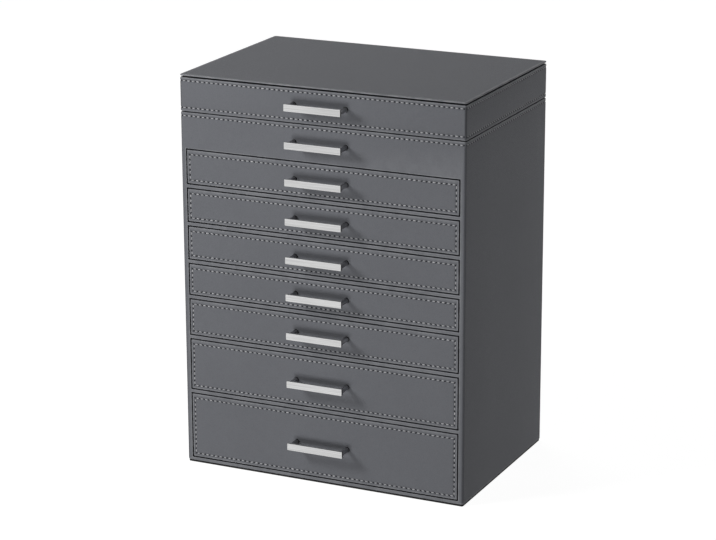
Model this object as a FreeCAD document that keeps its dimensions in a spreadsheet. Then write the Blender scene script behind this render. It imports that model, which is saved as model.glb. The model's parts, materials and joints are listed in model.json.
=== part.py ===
"""A jewellery chest: a mirrored lid over an open well, and seven drawers with bar pulls.

Millimetres, +Z up. The origin is the centre of the underside. The drawer fronts face -Y.
Every board is wrapped in artificial leather, and its sizes are taken over the leather.
"""
import FreeCAD, Part
import math
import os
import re
import Sketcher
from FreeCAD import Placement, Rotation, Vector

DRAWER_COUNT = 7
ROLL_COUNT = 7
SHORT_DIVIDERS = {1: 2, 2: 1}
TOLERANCE = 1e-4

SIZES = (
    # The chest
    ("case_width", 325.0, "outside width"),
    ("case_depth", 220.0, "depth from the drawer fronts to the back"),
    ("felt_sheet", 1.6, "thickness of the felt sheet under the chest"),
    ("felt_inset", 4.0, "felt edge to the outside of the chest"),
    ("bottom_board", 4.0, "thickness of the bottom board"),
    ("wall_board", 6.1, "thickness of the side boards and of the lid's ends"),
    ("back_board", 9.0, "thickness of the back boards, which hold the hinges"),
    ("shelf_board", 3.9, "thickness of the shelves between the drawers"),
    ("band_board", 6.0, "thickness of the fixed front band and of the lid's front"),
    ("band_height", 39.8, "height of the fixed front band"),
    ("corner_radius", 2.5, "rounding of the upright outer corners"),
    ("opening_1", 38.5, "height of the top drawer opening"),
    ("opening_2", 37.5, "height of the second drawer opening"),
    ("opening_3", 37.5, "height of the third drawer opening"),
    ("opening_4", 35.5, "height of the fourth drawer opening"),
    ("opening_5", 41.0, "height of the fifth drawer opening"),
    ("opening_6", 57.5, "height of the sixth drawer opening"),
    ("opening_7", 74.0, "height of the lowest drawer opening"),
    # The lid
    ("lid_height", 39.7, "height of the whole lid"),
    ("top_edge", 1.8, "part of the top panel that lies on the rim"),
    ("top_step", 2.4, "part of the top panel that sits inside the rim"),
    ("top_step_gap", 0.1, "top panel's step to the rim, each side"),
    ("top_rounding", 1.2, "rounding of the top panel's upper edges"),
    ("mirror_width", 272.0, "mirror, side to side"),
    ("mirror_depth", 164.0, "mirror, front to back"),
    ("mirror_glass", 3.0, "thickness of the mirror"),
    # The drawers
    ("front_board", 6.0, "thickness of a drawer front"),
    ("front_reveal", 0.7, "gap round a drawer front"),
    ("front_rounding", 1.1, "rounding of a drawer front's edges"),
    ("box_board", 3.5, "thickness of a drawer's sides and back"),
    ("box_base", 3.0, "thickness of a drawer's bottom"),
    ("box_side_gap", 0.6, "drawer box to the side boards"),
    ("box_floor_gap", 0.3, "drawer box to the shelf under it"),
    ("box_top_gap", 4.5, "drawer box to the shelf over it"),
    ("drawer_rear_gap", 0.4, "closed drawer to the back board"),
    # The pulls
    ("pull_length", 64.0, "length of a pull's bar"),
    ("pull_height", 7.2, "height of a pull's bar"),
    ("pull_thickness", 3.1, "thickness of a pull's bar"),
    ("pull_reach", 18.5, "leather to the bar's front face"),
    ("pull_rounding", 0.35, "rounding of the bar's edges"),
    ("post_radius", 2.5, "radius of a pull's post"),
    ("post_spacing", 59.0, "centre to centre of the two posts"),
    ("pull_thread", 1.5, "radius of a pull's screw"),
    ("pull_thread_depth", 7.0, "screw's reach into its post"),
    ("pull_head_radius", 2.9, "radius of a pull screw's head"),
    ("pull_head_height", 1.7, "height of a pull screw's head"),
    ("screw_clearance", 0.1, "screw to its hole, on the radius"),
    ("head_clearance", 0.2, "screw head to its recess"),
    # The linings
    ("lining", 0.8, "thickness of the velvet linings"),
    ("lining_setback", 0.5, "lining's edge to the split between case and lid"),
    ("divider_board", 2.5, "thickness of the dividers"),
    ("well_divider_height", 23.0, "height of the dividers in the well"),
    ("divider_drop", 3.0, "top of a drawer's dividers below the drawer's sides"),
    # The ring rolls
    ("roll_length", 132.0, "length of a ring roll"),
    ("roll_width", 17.6, "width of a ring roll"),
    ("roll_height", 20.0, "height of a ring roll"),
    ("roll_gap", 0.4, "ring roll to what is beside it"),
    ("roll_lift", 0.3, "ring roll to the lining under it"),
    ("roll_rounding", 2.0, "rounding of a ring roll's ends"),
    # The hinges
    ("hinge_offset", 105.0, "middle of the chest to the middle of a hinge"),
    ("hinge_length", 38.0, "length of a hinge"),
    ("leaf_width", 8.0, "back face to the leaf's inner edge"),
    ("leaf_thickness", 1.2, "thickness of a leaf"),
    ("mortise_gap", 0.1, "leaf to the sides of its mortise"),
    ("lid_knuckle", 15.4, "length of the lid leaf's knuckle"),
    ("knuckle_gap", 0.3, "knuckle to knuckle, and knuckle to the back face"),
    ("knuckle_radius", 2.6, "radius of the knuckles"),
    ("pin_radius", 1.1, "radius of a hinge pin"),
    ("pin_clearance", 0.05, "pin to knuckle, on the radius"),
    ("pin_head_radius", 1.8, "radius of a hinge pin's heads"),
    ("pin_head_height", 0.8, "height of a hinge pin's heads"),
    ("hinge_screw_spacing", 27.0, "centre to centre of a leaf's two screws"),
    ("hinge_screw_inset", 4.2, "back face to the screws' line"),
    ("hinge_screw_length", 9.0, "length of a hinge screw"),
    ("hinge_screw_radius", 1.2, "radius of a hinge screw's shank"),
    ("hinge_head_radius", 2.1, "radius of a hinge screw's head"),
    ("hinge_head_height", 1.0, "height of a hinge screw's head"),
    ("hinge_head_sink", 0.05, "screw head below the leaf's face"),
)

ALIASES = {alias for alias, _, _ in SIZES}

document = FreeCAD.newDocument("JewelleryChest")
sheet = document.addObject("Spreadsheet::Sheet", "Sizes")
for row, (alias, value, meaning) in enumerate(SIZES, start=1):
    sheet.set("A%d" % row, alias)
    sheet.set("B%d" % row, str(value))
    sheet.setAlias("B%d" % row, alias)
    sheet.set("C%d" % row, meaning)
document.recompute()


def size(alias):
    """The number in the sheet's cell of that name."""
    return float(sheet.get(alias))


def bind(target, prop, formula):
    """Bind a property to a formula written with the sheet's names."""
    words = re.sub(r"[A-Za-z_]\w*", lambda word: sheet_name(word.group()), formula)
    target.setExpression(prop, words)


def sheet_name(word):
    """A name as an expression knows it."""
    return "Sizes." + word if word in ALIASES else word


def place(target, corner):
    """Bind an object's position to three formulas."""
    for axis, formula in zip("xyz", corner):
        bind(target, "Placement.Base." + axis, formula)


# Heights and planes that several pieces share

def opening_floor(number):
    """Formula of the height of a drawer opening's floor; the lowest has the highest number."""
    terms = ["felt_sheet", "bottom_board"]
    for below in range(DRAWER_COUNT, number, -1):
        terms += ["opening_%d" % below, "shelf_board"]
    return " + ".join(terms)


CASE_LEFT = "-case_width / 2"
CASE_FRONT = "-case_depth / 2"
CASE_REAR = "case_depth / 2"
BACK_FACE = "case_depth / 2 - back_board"
INNER_LEFT = "-case_width / 2 + wall_board"
INNER_WIDTH = "case_width - 2 * wall_board"
BAND_FLOOR = opening_floor(1) + " + opening_1"
SPLIT = BAND_FLOOR + " + band_height"
PANEL_SEAT = SPLIT + " + lid_height - top_edge"
HINGE_AXIS = "case_depth / 2 + knuckle_gap + knuckle_radius"


# Boards, sketches and other shared makers

def block(name, corner, extent):
    """A rectangular block from its low corner and its three extents, all of them formulas."""
    box = document.addObject("Part::Box", name)
    for prop, formula in zip(("Length", "Width", "Height"), extent):
        bind(box, prop, formula)
    place(box, corner)
    return box


def rod(name, radius, length, middle, turn=None):
    """A round rod from a middle of its end face; it runs along +Z unless turned."""
    cylinder = document.addObject("Part::Cylinder", name)
    if turn is not None:
        cylinder.Placement = Placement(Vector(0, 0, 0), turn)
    bind(cylinder, "Radius", radius)
    bind(cylinder, "Height", length)
    place(cylinder, middle)
    return cylinder


def cut(name, base, tools):
    """The base less all the tools."""
    tool = tools[0] if len(tools) == 1 else fuse(name + "_tools", tools)
    result = document.addObject("Part::Cut", name)
    result.Base = base
    result.Tool = tool
    return result


def fuse(name, pieces):
    """One solid made of several."""
    result = document.addObject("Part::MultiFuse", name)
    result.Shapes = pieces
    return result


def group(name, pieces):
    """Separate solids under one name."""
    compound = document.addObject("Part::Compound", name)
    compound.Links = pieces
    return compound


def edge_numbers(shape, wanted):
    """Numbers of the edges that pass a test."""
    return [number for number, edge in enumerate(shape.Edges, start=1) if wanted(edge)]


def runs_along(edge, axis):
    """Whether an edge is straight and parallel to an axis."""
    if not isinstance(edge.Curve, Part.Line):
        return False
    return abs(abs(edge.Curve.Direction.dot(axis)) - 1) < TOLERANCE


def round_off(name, solid, radius, wanted):
    """A primitive or boolean with some of its edges rounded."""
    document.recompute()
    fillet = document.addObject("Part::Fillet", name)
    fillet.Base = solid
    fillet.Edges = [(number, radius, radius) for number in edge_numbers(solid.Shape, wanted)]
    return fillet


def body_fillet(body, name, feature, radius, wanted):
    """A body's feature with some of its edges rounded, by a formula."""
    document.recompute()
    fillet = body.newObject("PartDesign::Fillet", name)
    fillet.Base = (feature, ["Edge%d" % number for number in edge_numbers(feature.Shape, wanted)])
    bind(fillet, "Radius", radius)
    return fillet


def sketch_on(body, name, role):
    """An empty sketch on one of a body's own origin planes."""
    sketch = body.newObject("Sketcher::SketchObject", name)
    plane = next(item for item in body.Origin.OriginFeatures if item.Role == role)
    sketch.AttachmentSupport = (plane, "")
    sketch.MapMode = "FlatFace"
    return sketch


def constrain(sketch, prop, formula, *parts):
    """Add a dimension and bind it to a formula."""
    index = sketch.addConstraint(Sketcher.Constraint(*parts))
    sketch.renameConstraint(index, prop)
    bind(sketch, "Constraints." + prop, formula)


def draw_outline(sketch, steps):
    """A closed outline of level and upright lines from the origin.

    Each step is a direction and the formula of its length. After the steps the outline
    closes with a line to the left and one down. The rough lengths only start the solver.
    """
    directions = {"right": Vector(1, 0, 0), "up": Vector(0, 1, 0),
                  "left": Vector(-1, 0, 0), "down": Vector(0, -1, 0)}
    corners = [Vector(0, 0, 0)]
    for number, (direction, _) in enumerate(steps):
        rough_length = 10.0 * (len(steps) + 2 - number)
        corners.append(corners[-1] + directions[direction] * rough_length)
    corners.append(Vector(0, corners[-1].y, 0))
    corners.append(corners[0])
    ways = [direction for direction, _ in steps] + ["left", "down"]
    for number, way in enumerate(ways):
        sketch.addGeometry(Part.LineSegment(corners[number], corners[number + 1]), False)
        flat = "Horizontal" if way in ("left", "right") else "Vertical"
        sketch.addConstraint(Sketcher.Constraint(flat, number))
    for number in range(len(ways)):
        following = (number + 1) % len(ways)
        sketch.addConstraint(Sketcher.Constraint("Coincident", number, 2, following, 1))
    sketch.addConstraint(Sketcher.Constraint("Coincident", 0, 1, -1, 1))
    for number, (direction, formula) in enumerate(steps):
        kind = "DistanceX" if direction in ("left", "right") else "DistanceY"
        start, end = (1, 2) if direction in ("right", "up") else (2, 1)
        rough_length = 10.0 * (len(steps) + 2 - number)
        constrain(sketch, "run_%d" % number, formula, kind, number, start, number, end,
                  rough_length)


def draw_rectangle(sketch, width, height):
    """A rectangle from the origin."""
    draw_outline(sketch, (("right", width), ("up", height)))


def draw_circle(sketch, radius, across, above):
    """A circle by its radius and its centre's distances from the origin."""
    number = sketch.addGeometry(Part.Circle(Vector(20, 20, 0), Vector(0, 0, 1), 1.0), False)
    constrain(sketch, "radius_%d" % number, radius, "Radius", number, 1.0)
    constrain(sketch, "across_%d" % number, across, "DistanceX", -1, 1, number, 3, 20.0)
    constrain(sketch, "above_%d" % number, above, "DistanceY", -1, 1, number, 3, 20.0)


def pad(body, name, sketch, length, backwards=False):
    """A sketch made solid."""
    feature = body.newObject("PartDesign::Pad", name)
    feature.Profile = sketch
    feature.Reversed = backwards
    bind(feature, "Length", length)
    return feature


def pocket(body, name, sketch, depth, backwards=False):
    """A sketch cut from a solid, which has to get smaller."""
    document.recompute()
    volume = body.Shape.Volume
    feature = body.newObject("PartDesign::Pocket", name)
    feature.Profile = sketch
    feature.Reversed = backwards
    bind(feature, "Length", depth)
    document.recompute()
    if body.Shape.Volume > volume - TOLERANCE:
        raise ValueError("%s cuts nothing" % name)
    return feature


# Boards that carry a pull, and the pulls

def pull_board(name, width, height, thickness, rise):
    """A board with holes for a pull's two screws, recessed for their heads at the back.

    The body's origin is the lower left corner of its back face, and the board grows to -Y.
    The pull's middle is at half the width and at the height given by rise.
    """
    body = document.addObject("PartDesign::Body", name)
    outline = sketch_on(body, name + "_outline", "XZ_Plane")
    draw_rectangle(outline, width, height)
    pad(body, name + "_pad", outline, thickness)
    for part, radius, depth in (
            ("holes", "pull_thread + screw_clearance", thickness),
            ("recess", "pull_head_radius + head_clearance", "pull_head_height + head_clearance")):
        circles = sketch_on(body, name + "_" + part, "XZ_Plane")
        for sign in "-+":
            draw_circle(circles, radius, "(%s) / 2 %s post_spacing / 2" % (width, sign), rise)
        pocket(body, name + "_" + part + "_cut", circles, depth, backwards=True)
    return body


def front_edges(thickness):
    """A test for the straight edges round a pull board's front face."""
    def on_front(edge):
        straight = isinstance(edge.Curve, Part.Line)
        return straight and all(abs(point.Y + thickness) < TOLERANCE for point in edge.Vertexes)
    return on_front


def upright_front_edges(thickness):
    """A test for the two upright edges of a pull board's front face."""
    on_front = front_edges(thickness)

    def upright(edge):
        return on_front(edge) and runs_along(edge, Vector(0, 0, 1))
    return upright


def pull(name, height):
    """A bar on two posts, each post bored for its screw; the middle's height is a formula."""
    along_y = Rotation(Vector(1, 0, 0), 90)
    bar = block(name + "_block", ("-pull_length / 2", "-pull_reach", "-pull_height / 2"),
                ("pull_length", "pull_thickness", "pull_height"))
    bar = round_off(name + "_bar", bar, size("pull_rounding"), lambda edge: True)
    posts = []
    for side, sign in (("left", "-"), ("right", "+")):
        middle = ("%s post_spacing / 2" % sign, "0", "0")
        post = rod("%s_%s_rod" % (name, side), "post_radius", "pull_reach - pull_thickness",
                   middle, along_y)
        thread = rod("%s_%s_thread" % (name, side), "pull_thread + screw_clearance",
                     "pull_thread_depth + screw_clearance", middle, along_y)
        posts.append(cut("%s_%s_post" % (name, side), post, [thread]))
    pieces = group(name, [bar] + posts)
    place(pieces, ("0", CASE_FRONT, height))


def pull_screws(name, height, thickness):
    """Two screws from the back of a board into a pull's posts."""
    along_y = Rotation(Vector(1, 0, 0), 90)
    screws = []
    for side, sign in (("left", "-"), ("right", "+")):
        across = "%s post_spacing / 2" % sign
        seat = "%s - pull_head_height" % thickness
        shank = rod("%s_%s_shank" % (name, side), "pull_thread", seat + " + pull_thread_depth",
                    (across, seat, "0"), along_y)
        head = rod("%s_%s_head" % (name, side), "pull_head_radius", "pull_head_height",
                   (across, thickness, "0"), along_y)
        screws.append(fuse("%s_%s" % (name, side), [shank, head]))
    pieces = group(name, screws)
    place(pieces, ("0", CASE_FRONT, height))


# Linings and dividers

def tray(name, corner, extent, upside_down=False):
    """A thin open tray that lines a box, from its outer low corner and extents."""
    shell = block(name + "_outside", corner, extent)
    low = "0" if upside_down else "lining"
    inside = block(name + "_inside",
                   (corner[0] + " + lining", corner[1] + " + lining", corner[2] + " + " + low),
                   (extent[0] + " - 2 * lining", extent[1] + " - 2 * lining",
                    extent[2] + " - lining"))
    cut(name, shell, [inside])


def cross_dividers(name, corner, extent, short_count):
    """One divider along the middle of a space, and short ones evenly spaced on both sides."""
    left, front, floor = corner
    width, depth, height = extent
    half = "((%s - divider_board) / 2)" % depth
    pieces = [block(name + "_long", (left, front + " + " + half, floor),
                    (width, "divider_board", height))]
    pitch = "((%s - %d * divider_board) / %d)" % (width, short_count, short_count + 1)
    for number in range(1, short_count + 1):
        across = "%s + %d * %s + %d * divider_board" % (left, number, pitch, number - 1)
        for row, start in (("front", front), ("rear", front + " + " + half + " + divider_board")):
            pieces.append(block("%s_%s_%d" % (name, row, number), (across, start, floor),
                                ("divider_board", half, height)))
    return pieces


# The case

def side_panel(name, left_side):
    """A side board with a notch at the top front that takes the band."""
    body = document.addObject("PartDesign::Body", name)
    outline = sketch_on(body, name + "_outline", "YZ_Plane")
    draw_outline(outline, (
        ("right", "case_depth - back_board"),
        ("up", "%s - felt_sheet" % SPLIT),
        ("left", "case_depth - back_board - band_board"),
        ("down", "band_height")))
    board = pad(body, name + "_pad", outline, "wall_board")
    outer = 0.0 if left_side else size("wall_board")

    def front_corner(edge):
        at_corner = all(abs(point.X - outer) < TOLERANCE and abs(point.Y) < TOLERANCE
                        for point in edge.Vertexes)
        return at_corner and runs_along(edge, Vector(0, 0, 1))
    body_fillet(body, name + "_corner", board, "corner_radius", front_corner)
    across = CASE_LEFT if left_side else "case_width / 2 - wall_board"
    place(body, (across, CASE_FRONT, "felt_sheet"))


def rear_board(name, floor, height, leaf_floor, screw_direction):
    """A full-width back board with rounded outer corners and mortises for the hinge leaves."""
    board = block(name + "_block", (CASE_LEFT, BACK_FACE, floor),
                  ("case_width", "back_board", height))
    half_width = size("case_width") / 2
    rear = size("case_depth") / 2

    def rear_corner(edge):
        at_corner = all(abs(abs(point.X) - half_width) < TOLERANCE
                        and abs(point.Y - rear) < TOLERANCE for point in edge.Vertexes)
        return at_corner and runs_along(edge, Vector(0, 0, 1))
    board = round_off(name + "_rounded", board, size("corner_radius"), rear_corner)
    tools = []
    for side, sign in (("left", "-"), ("right", "+")):
        tools.append(block("%s_%s_mortise" % (name, side),
                           ("%s hinge_offset - hinge_length / 2 - mortise_gap" % sign,
                            "case_depth / 2 - leaf_width - mortise_gap", leaf_floor),
                           ("hinge_length + 2 * mortise_gap", "leaf_width + mortise_gap",
                            "leaf_thickness")))
        for hole, screw_sign in (("inner", "-"), ("outer", "+")):
            tools.append(rod("%s_%s_%s_pilot" % (name, side, hole),
                             "hinge_screw_radius + screw_clearance",
                             "hinge_screw_length + screw_clearance",
                             hinge_screw_spot(sign, screw_sign, SPLIT), screw_direction))
    return cut(name, board, tools)


def case_boards():
    """The fixed boards of the chest and the felt under it."""
    side_panel("case_left_side", True)
    side_panel("case_right_side", False)
    rear_board("case_back", "felt_sheet", "%s - felt_sheet" % SPLIT,
               "%s - leaf_thickness" % SPLIT, Rotation(Vector(1, 0, 0), 180))
    inner_depth = "case_depth - back_board"
    block("case_bottom", (INNER_LEFT, CASE_FRONT, "felt_sheet"),
          (INNER_WIDTH, inner_depth, "bottom_board"))
    shelves = [block("well_floor", (INNER_LEFT, CASE_FRONT + " + band_board", BAND_FLOOR),
                     (INNER_WIDTH, inner_depth + " - band_board", "shelf_board"))]
    for number in range(1, DRAWER_COUNT):
        shelves.append(block("shelf_%d" % number,
                             (INNER_LEFT, CASE_FRONT, opening_floor(number) + " - shelf_board"),
                             (INNER_WIDTH, inner_depth, "shelf_board")))
    group("drawer_shelves", shelves)
    block("felt_base", (CASE_LEFT + " + felt_inset", CASE_FRONT + " + felt_inset", "0"),
          ("case_width - 2 * felt_inset", "case_depth - 2 * felt_inset", "felt_sheet"))


def front_band():
    """The fixed board over the drawers, which looks like a drawer and has a pull."""
    body = pull_board("front_band", "case_width", "band_height", "band_board", "band_height / 2")
    body_fillet(body, "front_band_corners", body.Tip, "corner_radius",
                upright_front_edges(size("band_board")))
    place(body, (CASE_LEFT, CASE_FRONT + " + band_board", BAND_FLOOR))
    middle = BAND_FLOOR + " + band_height / 2"
    pull("band_pull", middle)
    pull_screws("band_pull_screws", middle, "band_board")


# The well under the lid

def well():
    """The lined well, its dividers and its bed of ring rolls."""
    floor = BAND_FLOOR + " + shelf_board"
    tray("well_lining", (INNER_LEFT, CASE_FRONT + " + band_board", floor),
         (INNER_WIDTH, "case_depth - band_board - back_board",
          "band_height - shelf_board - lining_setback"))
    left = INNER_LEFT + " + lining"
    front = CASE_FRONT + " + band_board + lining"
    top_of_lining = floor + " + lining"
    bed_width = "(roll_length + 2 * roll_gap)"
    bed_depth = "(%d * (roll_width + roll_gap) + roll_gap)" % ROLL_COUNT
    beside_bed = left + " + " + bed_width + " + divider_board"
    beside_width = INNER_WIDTH + " - 2 * lining - %s - divider_board" % bed_width
    cross = block("well_cross_divider", (left, front + " + " + bed_depth, top_of_lining),
                  (INNER_WIDTH + " - 2 * lining", "divider_board", "well_divider_height"))
    bed_side = block("well_bed_divider", (left + " + " + bed_width, front, top_of_lining),
                     ("divider_board", bed_depth, "well_divider_height"))
    squares = cross_dividers("well_squares", (beside_bed, front, top_of_lining),
                             ("(%s)" % beside_width, bed_depth, "well_divider_height"), 1)
    group("well_dividers", [cross, bed_side] + squares)
    rolls = []
    for number in range(ROLL_COUNT):
        start = front + " + roll_gap + %d * (roll_width + roll_gap)" % number
        rolls.append(ring_roll("ring_roll_%d" % (number + 1),
                               (left + " + roll_gap", start, top_of_lining + " + roll_lift")))
    group("well_ring_rolls", rolls)


def ring_roll(name, corner):
    """A padded roll with a flat base, upright sides and a round crown."""
    body = document.addObject("PartDesign::Body", name)
    section = sketch_on(body, name + "_section", "YZ_Plane")
    width = size("roll_width")
    shoulder = size("roll_height") - width / 2
    crown = Part.Circle(Vector(width / 2, shoulder, 0), Vector(0, 0, 1), width / 2)
    section.addGeometry(Part.LineSegment(Vector(0, 0, 0), Vector(width, 0, 0)), False)
    section.addGeometry(Part.LineSegment(Vector(width, 0, 0), Vector(width, shoulder, 0)), False)
    section.addGeometry(Part.ArcOfCircle(crown, 0, math.pi), False)
    section.addGeometry(Part.LineSegment(Vector(0, shoulder, 0), Vector(0, 0, 0)), False)
    for parts in (("Coincident", 0, 1, -1, 1), ("Coincident", 0, 2, 1, 1),
                  ("Coincident", 3, 2, 0, 1), ("Horizontal", 0), ("Vertical", 1), ("Vertical", 3),
                  ("Tangent", 1, 2, 2, 1), ("Tangent", 2, 2, 3, 1)):
        section.addConstraint(Sketcher.Constraint(*parts))
    constrain(section, "base", "roll_width", "DistanceX", 0, 1, 0, 2, width)
    constrain(section, "shoulder", "roll_height - roll_width / 2", "DistanceY", 1, 1, 1, 2, shoulder)
    roll = pad(body, name + "_pad", section, "roll_length")
    length = size("roll_length")

    def end_edge(edge):
        return any(all(abs(point.X - end) < TOLERANCE for point in edge.Vertexes)
                   for end in (0.0, length)) and not runs_along(edge, Vector(0, 1, 0))
    body_fillet(body, name + "_ends", roll, "roll_rounding", end_edge)
    place(body, corner)
    return body


# The lid

def lid():
    """The lid's rim, its top panel, its lining and its mirror."""
    rim_height = "lid_height - top_edge"
    front = pull_board("rim_front", "case_width", rim_height, "band_board", "lid_height / 2")
    body_fillet(front, "rim_front_corners", front.Tip, "corner_radius",
                upright_front_edges(size("band_board")))
    place(front, (CASE_LEFT, CASE_FRONT + " + band_board", SPLIT))
    rear = rear_board("rim_rear", SPLIT, rim_height, SPLIT, Rotation(Vector(0, 0, 1), 0))
    end_depth = "case_depth - band_board - back_board"
    ends = [block(name, (across, CASE_FRONT + " + band_board", SPLIT),
                  ("wall_board", end_depth, rim_height))
            for name, across in (("rim_left", CASE_LEFT), ("rim_right", "case_width / 2 - wall_board"))]
    group("lid_rim", [front, rear] + ends)
    top_panel()
    ceiling = PANEL_SEAT + " - top_step"
    tray("lid_lining", (INNER_LEFT, CASE_FRONT + " + band_board", SPLIT + " + lining_setback"),
         (INNER_WIDTH, end_depth, rim_height + " - top_step - lining_setback"), upside_down=True)
    middle = "(band_board - back_board) / 2"
    block("lid_mirror", ("-mirror_width / 2", middle + " - mirror_depth / 2",
                         ceiling + " - lining - mirror_glass"),
          ("mirror_width", "mirror_depth", "mirror_glass"))
    height = SPLIT + " + lid_height / 2"
    pull("lid_pull", height)
    pull_screws("lid_pull_screws", height, "band_board")


def top_panel():
    """The lid's top, which lies on the rim and steps down inside it."""
    body = document.addObject("PartDesign::Body", "lid_top")
    outline = sketch_on(body, "lid_top_outline", "XY_Plane")
    draw_rectangle(outline, "case_width", "case_depth")
    panel = pad(body, "lid_top_pad", outline, "top_edge")
    step = sketch_on(body, "lid_top_step_outline", "XY_Plane")
    draw_rectangle(step, INNER_WIDTH + " - 2 * top_step_gap",
                   "case_depth - band_board - back_board - 2 * top_step_gap")
    bind(step, "AttachmentOffset.Base.x", "wall_board + top_step_gap")
    bind(step, "AttachmentOffset.Base.y", "band_board + top_step_gap")
    stepped = pad(body, "lid_top_step", step, "top_step", backwards=True)
    thickness = size("top_edge")
    width = size("case_width")

    def outer_corner(edge):
        on_sides = all(min(abs(point.X), abs(point.X - width)) < TOLERANCE
                       for point in edge.Vertexes)
        return on_sides and runs_along(edge, Vector(0, 0, 1))
    rounded = body_fillet(body, "lid_top_corners", stepped, "corner_radius", outer_corner)

    def top_face_edge(edge):
        return all(abs(point.Z - thickness) < TOLERANCE for point in edge.Vertexes)
    body_fillet(body, "lid_top_edge", rounded, "top_rounding", top_face_edge)
    place(body, (CASE_LEFT, CASE_FRONT, PANEL_SEAT))


# The hinges

def hinge_screw_spot(side, along, height):
    """Three formulas of the middle of a hinge screw's head."""
    return ("%s hinge_offset %s hinge_screw_spacing / 2" % (side, along),
            "case_depth / 2 - hinge_screw_inset", height)


def countersunk(name, radius_growth, length, spot, turn):
    """A countersunk screw's shape, grown for a hole, from its head down along -Z."""
    head = document.addObject("Part::Cone", name + "_head")
    bind(head, "Radius1", "hinge_screw_radius + " + radius_growth)
    bind(head, "Radius2", "hinge_head_radius + " + radius_growth)
    bind(head, "Height", "hinge_head_height")
    place(head, ("0", "0", "-hinge_head_height"))
    shank = rod(name + "_shank", "hinge_screw_radius + " + radius_growth, length, ("0", "0", "0"),
                Rotation(Vector(1, 0, 0), 180))
    screw = fuse(name, [head, shank])
    screw.Placement = Placement(Vector(0, 0, 0), turn)
    place(screw, spot)
    return screw


def hinge_leaf(name, side, below):
    """One leaf with its knuckles, bored for the pin and sunk for the screws."""
    start = "%s hinge_offset - hinge_length / 2" % side
    floor = SPLIT + " - leaf_thickness" if below else SPLIT
    outer_length = "((hinge_length - lid_knuckle) / 2 - knuckle_gap)"
    if below:
        knuckles = ((start, outer_length),
                    (start + " + hinge_length - " + outer_length, outer_length))
    else:
        knuckles = ((start + " + (hinge_length - lid_knuckle) / 2", "lid_knuckle"),)
    along_x = Rotation(Vector(0, 1, 0), 90)
    pieces = [block(name + "_plate", (start, "case_depth / 2 - leaf_width", floor),
                    ("hinge_length", "leaf_width", "leaf_thickness"))]
    for number, (across, length) in enumerate(knuckles):
        pieces.append(block("%s_tongue_%d" % (name, number), (across, CASE_REAR, floor),
                            (length, "knuckle_gap + knuckle_radius", "leaf_thickness")))
        pieces.append(rod("%s_knuckle_%d" % (name, number), "knuckle_radius", length,
                          (across, HINGE_AXIS, SPLIT), along_x))
    solid = fuse(name + "_solid", pieces)
    tools = [rod(name + "_bore", "pin_radius + pin_clearance", "hinge_length",
                 (start, HINGE_AXIS, SPLIT), along_x)]
    turn = Rotation(Vector(1, 0, 0), 0 if below else 180)
    for hole, sign in (("inner", "-"), ("outer", "+")):
        tools.append(countersunk("%s_%s_sink" % (name, hole), "screw_clearance", "hinge_screw_length",
                                 hinge_screw_spot(side, sign, SPLIT), turn))
    return cut(name, solid, tools)


def hinges():
    """Two butt hinges: a case leaf, a lid leaf and a pin each, with their screws."""
    sides = (("left", "-"), ("right", "+"))
    group("case_hinge_leaves",
          [hinge_leaf("case_leaf_" + side, sign, True) for side, sign in sides])
    group("lid_hinge_leaves",
          [hinge_leaf("lid_leaf_" + side, sign, False) for side, sign in sides])
    along_x = Rotation(Vector(0, 1, 0), 90)
    pins = []
    for side, sign in sides:
        start = "%s hinge_offset - hinge_length / 2" % sign
        shaft = rod("pin_%s_shaft" % side, "pin_radius", "hinge_length",
                    (start, HINGE_AXIS, SPLIT), along_x)
        heads = [rod("pin_%s_head_%d" % (side, number), "pin_head_radius", "pin_head_height",
                     (across, HINGE_AXIS, SPLIT), along_x)
                 for number, across in enumerate((start + " - pin_head_height",
                                                  start + " + hinge_length"))]
        pins.append(fuse("pin_" + side, [shaft] + heads))
    group("hinge_pins", pins)
    for name, level, turn in (
            ("case_hinge_screws", SPLIT + " - hinge_head_sink", 0),
            ("lid_hinge_screws", SPLIT + " + hinge_head_sink", 180)):
        group(name, [countersunk("%s_%s_%s" % (name, side, hole), "0",
                                 "hinge_screw_length - hinge_head_sink",
                                 hinge_screw_spot(sign, screw_sign, level),
                                 Rotation(Vector(1, 0, 0), turn))
                     for side, sign in sides
                     for hole, screw_sign in (("inner", "-"), ("outer", "+"))])


# The drawers

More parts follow.
